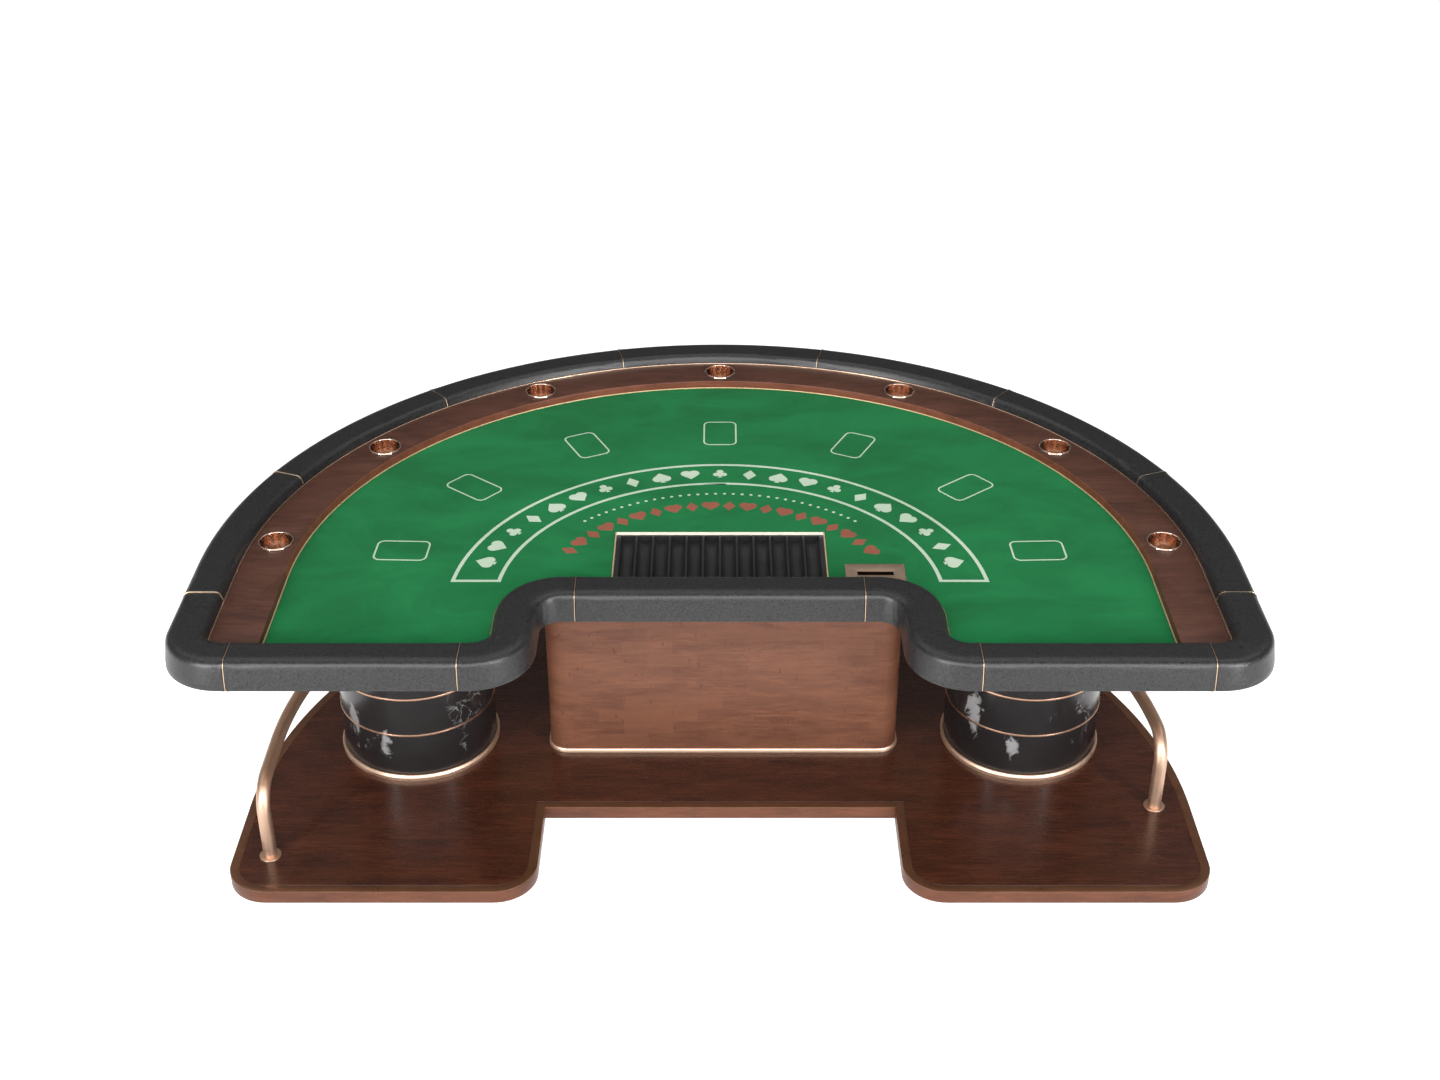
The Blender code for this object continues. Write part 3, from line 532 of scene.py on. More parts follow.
def plyFinish():
    made, tree, shader = startFinish("plywood", Roughness=0.7)
    layers = put(tree, "TexWave", {"Vector": surface(tree), "Scale": 95.0, "Distortion": 0.4, "Detail": 2.0},
                 bands_direction="Z").outputs["Fac"]
    fibre = grain(tree, surface(tree, (6, 160, 160)), 1.0, 5, 0.6)
    tones = mixed(tree, spread(tree, fibre, 0.0, 1.0, 0.3, 0.7), colour(196, 160, 112), colour(160, 122, 80))
    tones = mixed(tree, sums(tree, "MULTIPLY", layers, 0.35), tones, colour(112, 78, 48))
    join(tree, tones, shader, "Base Color")
    join(tree, bumped(tree, fibre, 0.0003, 0.4), shader, "Normal")
    return made


print("finishes")
finishes = {
    "leather": leatherFinish(),
    "edging": woodFinish("walnut_edging", dark=(68, 37, 23), mid=(84, 48, 31), light=(101, 59, 40),
                         pore=(42, 24, 17), clouds=0.35, fibre=0.35, pores=0.35, ticks=0.3,
                         roughness=0.38, source="UV"),
    "cabinet": woodFinish("walnut_cabinet", dark=(66, 39, 29), mid=(86, 53, 39), light=(108, 70, 51),
                          pore=(54, 32, 25), fibre=0.4, pores=0.4, ticks=0.55, staves=0.4,
                          roughness=0.36, source="UV"),
    "cabinetBack": woodFinish("walnut_cabinet_back", dark=(84, 46, 31), mid=(104, 62, 42),
                              light=(124, 78, 53), pore=(54, 32, 25), clouds=0.5, fibre=0.3, pores=0.35,
                              roughness=0.45),
    "track": woodFinish("walnut_race_track", dark=(52, 31, 23), mid=(75, 46, 35), light=(93, 59, 47),
                        pore=(34, 21, 16), clouds=0.3, fibre=0.4, pores=0.4, ticks=0.3, staves=0.2,
                        roughness=0.44, specular=0.28),
    "trackEdge": woodFinish("walnut_edge_banding", dark=(84, 47, 34), mid=(100, 57, 41), light=(116, 68, 49),
                            pore=(60, 34, 24), fibre=0.2, pores=0.2, roughness=0.4),
    "platform": woodFinish("walnut_platform", dark=(38, 21, 15), mid=(53, 27, 18), light=(76, 40, 26),
                           pore=(30, 16, 12), clouds=0.45, fibre=0.1, pores=0.2, ticks=0.35, staves=0.3,
                           roughness=0.26, specular=0.4, coat=0.12),
    "roseGold": metalFinish("rose_gold", (244, 208, 182), 0.22),
    "bead": metalFinish("seam_bead", (204, 178, 150), 0.36),
    "edgeLine": metalFinish("felt_edge_gold", (226, 196, 150), 0.4, 0.1, metallic=0.5),
    # the tray frame's long sides: a near-white colour and a lower metallic paint the highlight of light on
    # the metal strip
    "trayPaintedHighlight": metalFinish("tray_edge_painted_highlight", (246, 236, 218), 0.35, 0.03, metallic=0.4),
    "foot": metalFinish("column_foot", (226, 194, 170), 0.48, 0.05),
    "band": metalFinish("column_band", (220, 178, 152), 0.3, 0.1),
    "copper": metalFinish("copper", (224, 196, 178), 0.16, 0.04),
    "railMetal": metalFinish("rail_rose_gold", (208, 175, 152), 0.44, 0.05),
    "bronze": paintFinish("bronze_inlay", (98, 66, 47), 0.3, 0.5, 0.00005),
    "plate": metalFinish("brushed_bronze_plate", (190, 164, 142), 0.5, 0.05, (500, 22, 22)),
    "felt": feltFinish("baize", (14, 93, 48), (21, 111, 60), (38, 134, 78), 0.3),
    "whitePrint": feltFinish("white_print", (176, 194, 172), (196, 208, 190), (110, 160, 120), 0.45),
    "redPrint": feltFinish("red_print", (136, 66, 58), (152, 78, 68), (110, 120, 70), 0.45),
    "plastic": paintFinish("black_plastic", (22, 21, 23), 0.42),
    "blackSteel": paintFinish("black_steel", (38, 38, 40), 0.5, 0.3),
    "zinc": metalFinish("zinc_sheet", (176, 178, 182), 0.4, 0.15, (8, 300, 300)),
    "plywood": plyFinish(),
}

# fourteen foam pads under leatherette, with a metal bead before each
armrest = {
    "pads": [("dealer", "hollow", 0.363), ("curve_l", "hollow", -0.363), ("wing_l", "wing", -0.619),
             ("corner_l", "wing", -1.169), ("side_l", "side", -1), ("shoulder_l", "arc", -68.2),
             ("arc_l", "arc", -41.0), ("back", "arc", -13.8), ("arc_r", "arc", 13.8),
             ("shoulder_r", "arc", 41.0), ("side_r", "arc", 68.2), ("corner_r", "side", 1),
             ("wing_r", "wing", 1.169), ("curve_r", "wing", 0.619)],
    "sideBead": -0.140, "beadHalf": 0.0010, "beadEase": 0.0005, "gap": 0.0003, "step": 0.010,
    "dip": 0.0013, "dipLength": 0.010, "endRings": (0.0015, 0.005), "crossStep": 0.0085,
    "tuck": 0.004, "slack": 0.0001, "rest": 0.002,
    "pressure": 4.0, "stiffness": 30, "quality": 4, "frames": 20, "most": 0.0009,
    "section": [(0.0004, 0.7463, 0.0035), (0.0008, 0.762, 0.030), (0.0094, 0.8245, 0.0185),
                (0.0990, 0.8245, 0.0150), (0.1066, 0.8005, 0.002), (0.1066, 0.7988, 0), (0.0217, 0.7988, 0),
                (0.0217, 0.7470, 0)],
    "beadSection": [(0.0004, 0.7460, 0.0055), (0, 0.762, 0.030), (0.0086, 0.8254, 0.0191),
                    (0.0996, 0.8254, 0.0155), (0.1070, 0.8009, 0.002), (0.1070, 0.7990, 0),
                    (0.0219, 0.7990, 0), (0.0219, 0.7460, 0)],
    "trimSection": [(0.1072, 0.7736, 0), (0.1072, 0.8005, 0.0006), (0.1105, 0.8003, 0.0012),
                    (0.1105, 0.7736, 0)],
}


def beadPlace(kind, mark):
    if kind == "arc":
        return onArc(plan["arcRadius"], mark)
    if kind == "side":
        return atPlace(mark * plan["arcRadius"], armrest["sideBead"])
    return atPlace(mark, -plan["dealerFront"] if kind == "hollow" else -plan["wingFront"])


def makePad(name, s0, s1):
    look = armrest
    a, b = look["endRings"]
    ends = [s0, s0 + a, s0 + b, s1 - b, s1 - a, s1]  # close rings where the cover is drawn in
    first, cut = cutMoves(start, moves, s0, s1)[0], []
    for pair in zip(ends, ends[1:]):
        cut += cutMoves(start, moves, *pair)[1]
    section = roundedSection(look["section"], most=look["crossStep"])
    bm, along = sweep(section, first, cut, look["step"])
    around = bm.verts.layers.float["around"]
    bm.normal_update()
    outward = {v: v.normal.copy() for v in bm.verts}
    (_, foot, _), (inside, ledge, _) = look["section"][0], look["section"][-2]
    run, resting = 0.0, set()  # what is tucked under or lies on the ledge stays where it is
    for i, (u, z) in enumerate(section):
        if z < foot + look["tuck"] or u > inside - look["slack"] and z < ledge + look["rest"]:
            resting.add(round(run, 5))
        run += (Vector(section[(i + 1) % len(section)]) - Vector((u, z))).length
    held = []
    for i, v in enumerate(bm.verts):
        near = min(v[along], s1 - s0 - v[along])
        v.co -= outward[v] * (look["dip"] * max(0.0, 1 - near / look["dipLength"]) ** 2)
        if near < 10 * touch or any(abs(v[around] - r) < 2 * touch for r in resting):
            held.append(i)
    piece = newMesh("armrest_" + name, bm, "leather", "leatherette", "armrest_pad_" + name, smooth=60)
    piece.vertex_groups.new(name="held").add(held, 1.0, "REPLACE")
    return piece


def puffUp(pieces, look):  # the foam swells each cover by at most look["most"]
    for piece in pieces:
        cloth = piece.modifiers.new("Swell", "CLOTH")
        cloth.settings.vertex_group_mass = "held"
        cloth.settings.use_pressure = True
        cloth.settings.uniform_pressure_force = look["pressure"]
        cloth.settings.effector_weights.gravity = 0
        cloth.settings.tension_stiffness = cloth.settings.compression_stiffness = look["stiffness"]
        cloth.settings.quality = look["quality"]
        cloth.collision_settings.use_collision = False
        cloth.point_cache.frame_start, cloth.point_cache.frame_end = 1, look["frames"]
    for frameNumber in range(1, look["frames"] + 1):
        bpy.context.scene.frame_set(frameNumber)
    graph = bpy.context.evaluated_depsgraph_get()
    for piece in pieces:
        swollen = [v.co.copy() for v in piece.evaluated_get(graph).data.vertices]
        piece.modifiers.clear()
        for v, spot in zip(piece.data.vertices, swollen):
            move = spot - v.co
            v.co += move * min(1.0, look["most"] / max(move.length, 1e-9))
    bpy.context.scene.frame_set(1)


print("armrest")
start, moves = tableMoves()
places = []
for _, kind, mark in armrest["pads"]:
    place, total = placeOf(start, moves, beadPlace(kind, mark))
    places.append(place)
pads, inset = [], armrest["beadHalf"] + armrest["gap"]
for i, (name, _, _) in enumerate(armrest["pads"]):
    s0, s1 = places[i], places[(i + 1) % len(places)]
    if s1 < s0:
        s1 += total
    pads.append(makePad(name, s0 + inset, s1 - inset))
puffUp(pads, armrest)
for piece in pads:
    piece.vertex_groups.clear()
    smoother = piece.modifiers.new("Smooth", "SUBSURF")
    smoother.levels = smoother.render_levels = 1

beads, half = [], armrest["beadHalf"]
for place in places:
    bm, _ = sweep(roundedSection(armrest["beadSection"], 8),
                  *cutMoves(start, moves, place - half + total, place + half + total), armrest["step"])
    rims = [e for e in bm.edges if any(len(f.verts) > 8 for f in e.link_faces)]  # round its two flat ends
    bevelled(bm, rims, armrest["beadEase"], 2, clamp=False)
    beads.append(bm)
newMesh("armrest_beads", together(beads), "bead", "rose_gold", "armrest_trim")
bm, _ = sweep(roundedSection(armrest["trimSection"], 3), (start, Vector((0, 1, 0))), moves, armrest["step"],
              closed=True)
newMesh("armrest_inner_trim", bm, "roseGold", "rose_gold", "armrest_trim")


print("race track and felt")
track = {"bottom": 0.7736, "top": 0.7984, "innerRadius": 1.1106, "front": -0.3491, "outerInset": 0.1109,
         "moulding": 0.0022, "ease": 0.0012, "edgeSlack": 0.0008, "flatTop": 0.0004,
         "holeRadius": 0.0434, "holeStep": 0.0045, "holeArc": 1.175,
         "cups": {"far_l": -82.7, "side_l": -54.7, "arc_l": -27.5, "back": 0.0, "arc_r": 27.5, "side_r": 54.7,
                  "far_r": 82.7}}


def trackOutline(look):
    r, y, d = look["innerRadius"], look["front"], look["outerInset"]
    corner = plan["cornerRadius"] - d
    kx, ky = plan["arcRadius"] - plan["cornerRadius"], y + corner
    return atPlace(r, y), [
        line(0, -y), arc(centre, 180), line(0, y), line(r - kx, 0), arc(atPlace(-kx, ky), -90), line(0, -ky),
        arc(centre, -180), line(0, ky), arc(atPlace(kx, ky), -90), line(r - kx, 0)]


cupPlaces = {name: onArc(track["holeArc"], angle) for name, angle in track["cups"].items()}
holes = [circleMoves(at, track["holeRadius"], track["holeStep"]) for at in cupPlaces.values()]
bm = board([trackOutline(track)] + holes, track["bottom"], track["top"])
nearFelt = track["innerRadius"] + track["edgeSlack"]  # just past the edge beside the felt


def fromCentre(spot):
    return (spot - centre).to_2d().length


def besideFelt(edge):
    return level(edge, track["top"]) and all(abs(v.co.x) < nearFelt and fromCentre(v.co) < nearFelt
                                             for v in edge.verts)


easeEdges(bm, besideFelt, track["moulding"], 4)
easeEdges(bm, lambda e: level(e, track["top"]), track["ease"], 2)
top = newMesh("race_track_top", bm, "track", "walnut_mid", "race_track")
top.data.materials.append(finishes["trackEdge"])  # the banding over the raw edge beside the felt
for face in top.data.polygons:
    place = face.center
    beside = abs(place.x) < nearFelt and fromCentre(place) < nearFelt + 2 * track["moulding"]
    if beside and place.z < track["top"] - track["flatTop"] and face.normal.z < 0.9:
        face.material_index = 1

cup = {"radius": 0.043, "wall": 0.0009, "depth": 0.0605, "top": 0.7988, "rim": 0.0474, "steps": 96}
r, t, d, rim = cup["radius"], cup["wall"], cup["depth"], cup["rim"]
cupSection = [(0, t - d, 0), (r - t, t - d, 0.006), (r - t, 0.0030, 0.0018), (rim - 0.0002, 0.0034, 0.0018),
              (rim, 0.0008, 0.0004), (rim + 0.0003, 0, 0), (r, 0, 0), (r, -d, 0.004), (0, -d, 0)]
cupSection = roundedSection(cupSection, 4, lift=cup["top"])
for name, place in cupPlaces.items():
    newMesh("cup_" + name, turned(cupSection, cup["steps"], place), "copper", "copper", "cup_holder_" + name)

felt = {"bottom": 0.7736, "top": 0.7765, "inset": 0.1109, "radius": 1.1068, "ease": 0.0004, "gap": 0.0004,
        "step": 0.012, "trimRadius": 1.1102, "trimStep": 0.010,
        "trim": [(0, 0.7736, 0), (0, 0.7785, 0.0009), (0.003, 0.7785, 0.0009), (0.003, 0.7736, 0)]}
y = track["front"]
bm, _ = sweep(roundedSection(felt["trim"], 3), (atPlace(-felt["trimRadius"], y), Vector((1, 0, 0))),
              [line(0, -y), arc(centre, -180), line(0, y)], felt["trimStep"])
newMesh("felt_edge_trim", bm, "edgeLine", "rose_gold", "felt_trim")


def feltOutline(look):
    d, r = look["inset"], look["radius"]
    hollow, corner = plan["hollowRadius"] + d, plan["cornerRadius"] - d
    hx, kx = plan["wingInside"] - plan["hollowRadius"], plan["wingInside"] + plan["cornerRadius"]
    high, low = -plan["dealerFront"] + d, -plan["wingFront"] + d
    hy, ky = high - hollow, low + corner
    return atPlace(hx, high), [
        line(-2 * hx, 0), arc(atPlace(-hx, hy), 90), line(0, ky - hy), arc(atPlace(-kx, ky), -90),
        line(kx - r, 0), line(0, -low), arc(centre, -180), line(0, low), line(kx - r, 0),
        arc(atPlace(kx, ky), -90), line(0, hy - ky), arc(atPlace(hx, hy), 90)]


tray = {"frame": (0.2784, -0.046, 0.231), "frameWall": 0.003, "frameTop": 0.7795, "frameEase": 0.0009,
        "frameCorner": 0.002, "bottom": 0.7502, "top": 0.7725, "half": 0.2751, "ends": (-0.0427, 0.2277),
        "corner": 0.003,
        "tubes": 12, "pitch": 0.0443, "tubeRadius": 0.0195, "tubeEnds": (-0.038, 0.223), "tubeSteps": 18,
        "ease": 0.0010}
drop = {"plate": (0.323, 0.477, -0.0455, 0.068), "plateCorner": 0.004, "bottom": 0.7768, "top": 0.7788,
        "ease": 0.0006, "slot": (0.35325, 0.44675, 0.013, 0.033), "slotCorner": 0.002,
        "throat": 0.0015, "throatCorner": 0.0025, "throatTop": 0.7767, "throatBottom": 0.7443,
        "feltGap": 0.0003, "feltCorner": 0.001}
trayX, trayY0, trayY1 = tray["frame"]


def trayBox(wider, step=0.001):  # the tray frame's outline, made wider all round
    return placedBox(-trayX - wider, trayX + wider, trayY0 - wider, trayY1 + wider, tray["frameCorner"], step)


def slotBox(wider, corner, step=0.001):  # the drop slot's opening, made wider all round
    x0, x1, y0, y1 = drop["slot"]
    return placedBox(x0 - wider, x1 + wider, y0 - wider, y1 + wider, corner, step)


openings = [trayBox(felt["gap"], felt["step"]),
            slotBox(drop["throat"] + drop["feltGap"], drop["feltCorner"], felt["step"])]
bm = board([feltOutline(felt)] + openings, felt["bottom"], felt["top"], felt["ease"], 1)
newMesh("felt_playing_surface", bm, "felt", "baize", "felt_layout")


# suits stand where a table has its lettering
def suitPaths(kind):  # clockwise outlines in a square about two across
    if kind == "diamond":
        return flat(0, -1.25), [line(-0.85, 1.25), line(0.85, 1.25), line(0.85, -1.25), line(-0.85, -1.25)]
    if kind == "heart":
        return flat(0, -1.1), [
            line(-1, 1), arc(flat(-0.5, 0.4), -180), arc(flat(0.5, 0.4), -180), line(-1, -1)]
    if kind == "spade":
        return flat(0, 1.2), [
            line(1, -1), arc(flat(0.5, -0.3), -165), line(0.22, -0.36), line(-0.7328, 0), line(0.22, 0.36),
            arc(flat(-0.5, -0.3), -165), line(1, 1)]
    return flat(-0.316, 0.330), [
        arc(flat(0, 0.65), -270.8), arc(flat(0.45, -0.1), -267.3), line(0.25, -0.6), line(-0.5542, 0),
        line(0.25, 0.6), arc(flat(-0.45, -0.1), -267.3)]


print("printed layout")
layout = {  # a box is x, y, width, depth and degrees, a band's edge is its arc's middle and radius
    "bottom": 0.7764, "top": 0.7767, "line": 0.0045, "corner": 0.020, "boxStep": 0.006,
    "boxes": [(0.0, 0.807, 0.097, 0.147, 0.0), (0.385, 0.733, 0.094, 0.146, 26.0),
              (0.683, 0.482, 0.094, 0.148, 50.0), (0.835, 0.140, 0.100, 0.142, 88.0)],
    "bandOut": (-0.0739, 0.686), "bandIn": (-0.0645, 0.5675), "bandLine": 0.010, "bandEnd": -0.011,
    "bandPips": 21, "bandPipSize": 0.022, "bandPipRadius": 0.628, "bandPipReach": 76.0, "pipStep": 0.003,
    "dots": 34, "dotRadius": 0.515, "dotReach": 45.0, "dotSize": 0.0045, "dotStep": 0.002,
    "redPips": 20, "redRadius": 0.447, "redReach": 62.0, "redSize": 0.020, "pipCentre": -0.070,
}


def bandMoves(look, wider):  # an arched band whose ends lie level
    (c0, out), (c1, inner), y = look["bandOut"], look["bandIn"], look["bandEnd"] - wider
    out, inner = out + wider, inner - wider
    a, b = math.asin((y - c0) / out), math.asin((y - c1) / inner)
    xOut, xIn = out * math.cos(a), inner * math.cos(b)
    return atPlace(-xOut, y), [arc(atPlace(0, c0), -180 + 2 * math.degrees(a)), line(xIn - xOut, 0),
                               arc(atPlace(0, c1), 180 - 2 * math.degrees(b)), line(xIn - xOut, 0)]


def fanned(count, radius, reach):  # places spread along an arc, each with its angle
    angles = [reach * (2 * i / (count - 1) - 1) for i in range(count)]
    return [(onArc(radius, angle, layout["pipCentre"]), angle) for angle in angles]


def whitePaths(look):
    paths = []
    for x, y, w, h, lean in look["boxes"]:
        for side in ((1, -1) if x else (1,)):
            for d in (0, look["line"]):
                path = rounded(-w / 2 + d, w / 2 - d, -h / 2 + d, h / 2 - d, look["corner"] - d)
                paths.append(placePath(path, atPlace(side * x, y), 1.0, -side * lean, look["boxStep"]))
    paths += [bandMoves(look, wider) for wider in (look["bandLine"] / 2, -look["bandLine"] / 2)]
    suits = ("spade", "heart", "club", "diamond")
    for i, (at, angle) in enumerate(fanned(look["bandPips"], look["bandPipRadius"], look["bandPipReach"])):
        paths.append(placePath(suitPaths(suits[i % 4]), at, look["bandPipSize"], -angle, look["pipStep"]))
    return paths + [circleMoves(at, look["dotSize"], look["dotStep"])
                    for at, _ in fanned(look["dots"], look["dotRadius"], look["dotReach"])]


def redPaths(look):
    suits = ("diamond", "heart")
    return [placePath(suitPaths(suits[i % 2]), at, look["redSize"], -angle, look["pipStep"])
            for i, (at, angle) in enumerate(fanned(look["redPips"], look["redRadius"], look["redReach"]))]


for name, paths in (("white", whitePaths(layout)), ("red", redPaths(layout))):
    bm = board(paths, layout["bottom"], layout["top"])
    newMesh(f"layout_{name}_print", bm, name + "Print", "baize")


print("chip tray and drop slot")


def buildTray(look):
    top, r = look["top"], look["tubeRadius"]
    y0, y1 = (y + plan["centreY"] for y in look["tubeEnds"])
    mids = [(i - (look["tubes"] - 1) / 2) * look["pitch"] for i in range(look["tubes"])]
    bm = bmesh.new()
    rim = drawOutline(bm, *placedBox(-look["half"], look["half"], *look["ends"], look["corner"]))
    tubes = []
    for x in mids:
        corners = [bm.verts.new((x + a, y, 0)) for a, y in ((-r, y0), (-r, y1), (r, y1), (r, y0))]
        sides = [bm.edges.new((corners[i], corners[(i + 1) % 4])) for i in range(4)]
        tubes.append((x, sides[0], (sides[1], sides[3])))
    bmesh.ops.triangle_fill(bm, use_beauty=True, use_dissolve=False, edges=bm.edges, normal=up)
    bmesh.ops.translate(bm, verts=bm.verts, vec=up * top)
    outer = [e for e in bm.edges if len(e.link_faces) == 1 and all(v in rim for v in e.verts)]
    made = bmesh.ops.extrude_edge_only(bm, edges=outer)["geom"]
    lowered = [g for g in made if isinstance(g, bmesh.types.BMVert)]
    bmesh.ops.translate(bm, verts=lowered, vec=up * (look["bottom"] - top))
    bmesh.ops.contextual_create(bm, geom=[g for g in made if isinstance(g, bmesh.types.BMEdge)
                                          and all(v in lowered for v in g.verts)])
    for x, side, chords in tubes:  # a long side swings down and under to the other one
        before = set(bm.edges)
        bmesh.ops.spin(bm, geom=[side] + list(side.verts), cent=(x, 0, top), axis=(0, 1, 0), angle=-math.pi,
                       steps=look["tubeSteps"], use_merge=False, use_duplicate=False)
        fresh = [e for e in bm.edges if e not in before]
        for y, chord in zip((y1, y0), chords):
            arcs = [e for e in fresh if all(abs(v.co.y - y) < touch for v in e.verts)]
            bmesh.ops.contextual_create(bm, geom=arcs + [chord])
    bmesh.ops.remove_doubles(bm, verts=bm.verts, dist=touch)
    return bm


bm = buildTray(tray)
easeEdges(bm, lambda e: level(e, tray["top"]), tray["ease"], 2)
newMesh("chip_tray_tubes", bm, "plastic", "black_plastic", "chip_tray", body="chip_tray")
bm = board([trayBox(0), trayBox(-tray["frameWall"])], tray["bottom"], tray["frameTop"], tray["frameEase"])
surround = newMesh("chip_tray_surround", bm, "trayPaintedHighlight", "rose_gold", "chip_tray_frame")
surround.data.materials.append(finishes["edgeLine"])  # the long sides carry a near-white painted highlight of light on the metal strip, the ends keep the plain darker gold
for face in surround.data.polygons:
    face.material_index = int(abs(face.center.x) > trayX - tray["frameWall"])

slot = slotBox(0, drop["slotCorner"])
bm = board([placedBox(*drop["plate"], drop["plateCorner"]), slot], drop["bottom"], drop["top"], drop["ease"])
newMesh("drop_slot_cover", bm, "plate", "rose_gold", "drop_slot_plate")
throat = slotBox(drop["throat"], drop["throatCorner"])
bm = board([throat, slot], drop["throatBottom"], drop["throatTop"])
newMesh("drop_slot_throat", bm, "copper", "rose_gold", "drop_slot_plate")


print("cabinet and columns")
cabinet = {"x": 0.009, "half": 0.4965, "front": 0.2434, "back": 0.553, "corner": 0.055, "wall": 0.018,
           "bottom": 0.0388, "top": 0.7449, "step": 0.006,
           "trim": [(-0.0003, 0, 0), (-0.0047, 0, 0.0005), (-0.0057, 0.00525, 0.001),
                    (-0.0049, 0.01125, 0.002), (-0.0027, 0.015, 0.0008), (-0.0003, 0.015, 0)]}


def cabinetMoves(look):
    x0, x1, r = look["x"] - look["half"], look["x"] + look["half"], look["corner"]
    depth, cornerY = look["back"] - look["front"] - r, look["front"] + r
    return (atPlace(x1, look["back"]), Vector((-1, 0, 0))), [
        line(0, -depth), arc(atPlace(x1 - r, cornerY), -90), line(x0 - x1 + 2 * r, 0),
        arc(atPlace(x0 + r, cornerY), -90), line(0, depth)]


low, high, wall = cabinet["bottom"], cabinet["top"], cabinet["wall"]
first, path = cabinetMoves(cabinet)
bm, _ = sweep([(0, low), (0, high), (wall, high), (wall, low)], first, path, cabinet["step"])
newMesh("cabinet_veneered_shell", bm, "cabinet", "walnut_light", "cabinet_shell")
bm, _ = sweep(roundedSection(cabinet["trim"], 3, lift=low), first, path, cabinet["step"])
newMesh("cabinet_base_trim", bm, "foot", "rose_gold", "cabinet_trim")

# a patch in the marble is its place, width, height, lean and whether it is a web of cracks
columns = {"x": 0.86704, "y": 0.33300, "radius": 0.218, "wall": 0.015, "bottom": 0.0388, "top": 0.7449,
           "steps": 144, "near": 0.2183, "footHeight": 0.019, "footLip": 0.0045, "footOut": 0.2265,
           "footSlope": 0.0015, "rings": 5, "ring": 0.006, "ringOut": 0.0015, "firstRing": 0.1915,
           "pitch": 0.121,
           "patches": {"l": [(-1.022, -0.258, 0.205, 0.034, 0.15, 0.78, False),
                             (-0.932, -0.317, 0.155, 0.036, 0.07, 0.7, False),
                             (-0.704, -0.250, 0.262, 0.055, 0.09, 0.5, True)],
                       "r": [(0.711, -0.262, 0.229, 0.040, 0.14, 0.3, False),
                             (0.810, -0.319, 0.149, 0.034, 0.07, 0.5, False),
                             (1.027, -0.258, 0.254, 0.050, 0.08, 0.4, True)]}}


def buildColumn(look, side, at):
    out, near, low, high, steps = look["radius"], look["near"], look["bottom"], look["top"], look["steps"]
    shell = roundedSection([(out, low, 0.0008), (out, high, 0.0008), (out - look["wall"], high, 0),
                            (out - look["wall"], low, 0)], 2)
    finishes["marble_" + side] = marbleFinish("black_marble_" + side, look["patches"][side])
    newMesh("column_cover_" + side, turned(shell, steps, at), "marble_" + side, "marble_laminate",
            "column_shell_" + side)
    lip, wide = look["footHeight"], look["footOut"]
    foot = roundedSection([(near, lip, 0.0006), (near + look["footLip"], lip, 0.0018),
                           (wide, 0.6 * lip, 0.0016), (wide - look["footSlope"], 0, 0), (near, 0, 0)],
                          3, lift=low)
    newMesh("column_foot_" + side, turned(foot, steps, at), "foot", "rose_gold", "column_base_ring_" + side)
    half, rim = look["ring"] / 2, near + look["ringOut"]
    for k in range(look["rings"]):
        band = roundedSection([(near, -half, 0), (near, half, 0), (rim, half, 0.0007), (rim, -half, 0.0007)],
                              3, lift=look["firstRing"] + k * look["pitch"])
        newMesh(f"column_band_{side}{k + 1}", turned(band, steps, at), "band", "rose_gold",
                f"column_ring_{side}{k + 1}")


buildColumn(columns, "l", atPlace(-columns["x"], columns["y"]))
buildColumn(columns, "r", atPlace(columns["x"], columns["y"]))


print("platform and foot rail")
platform = {"radius": 1.296, "front": -0.354, "corner": 0.110, "notchHalf": 0.483, "notch": -0.006,
            "edging": 0.012, "edgingTop": 0.0352, "inlay": 0.0249, "inlayBottom": 0.0355, "inlayEase": 0.0006,
            "top": 0.0385, "deckBottom": 0.0198, "deckEase": 0.0004, "gap": 0.0003, "mitreReach": 0.03}


def platformMoves(d):  # clockwise from the right end of the notch
    look = platform
    r, c, q = look["radius"], look["corner"], look["notchHalf"]
    cy = look["front"] + c
    depth, wing = look["notch"] + d - cy, q + c - (r - c)
    return atPlace(q + d, look["notch"] + d), [
        line(-2 * (q + d), 0), line(0, -depth), arc(atPlace(-q - c, cy), -90), line(wing, 0),
        arc(atPlace(c - r, cy), -90), line(0, -cy), arc(centre, -180), line(0, cy),
        arc(atPlace(r - c, cy), -90), line(wing, 0), arc(atPlace(q + c, cy), -90), line(0, depth)]


def mitred(bm, place, normal, reach=10.0):  # cuts what is within reach at a slant and closes it
    near = {v for v in bm.verts if (v.co - place).to_2d().length < reach}
    geom = [g for group in (bm.edges, bm.faces) for g in group if all(v in near for v in g.verts)]
    bmesh.ops.bisect_plane(bm, geom=list(near) + geom, dist=1e-6, plane_co=place, plane_no=normal,
                           clear_outer=False, clear_inner=True)
    bmesh.ops.holes_fill(bm, edges=[e for e in bm.edges if len(e.link_faces) == 1], sides=0)


thick, high = platform["edging"], platform["edgingTop"]
strip = roundedSection([(0, 0, 0.0005), (0, high, 0.0012), (thick, high, 0), (thick, 0, 0)], 3)
half, y = platform["notchHalf"], platform["notch"]
left, right = atPlace(-half, y), atPlace(half, y)
bm, _ = sweep(strip, (atPlace(half + thick, y), Vector((0, 1, 0))), [line(-2 * (half + thick), 0)], 0.1)
mitred(bm, left, Vector((1, 1, 0)))
mitred(bm, right, Vector((-1, 1, 0)))
newMesh("platform_edging_notch", bm, "edging", "walnut_light", "plinth_edging")
around = [line(0, -thick)] + platformMoves(0)[1][1:] + [line(0, thick)]
bm, _ = sweep(strip, (atPlace(-half, y + thick), Vector((-1, 0, 0))), around)
mitred(bm, left, Vector((-1, -1, 0)), platform["mitreReach"])
mitred(bm, right, Vector((1, -1, 0)), platform["mitreReach"])
newMesh("platform_edging", bm, "edging", "walnut_light", "plinth_edging")
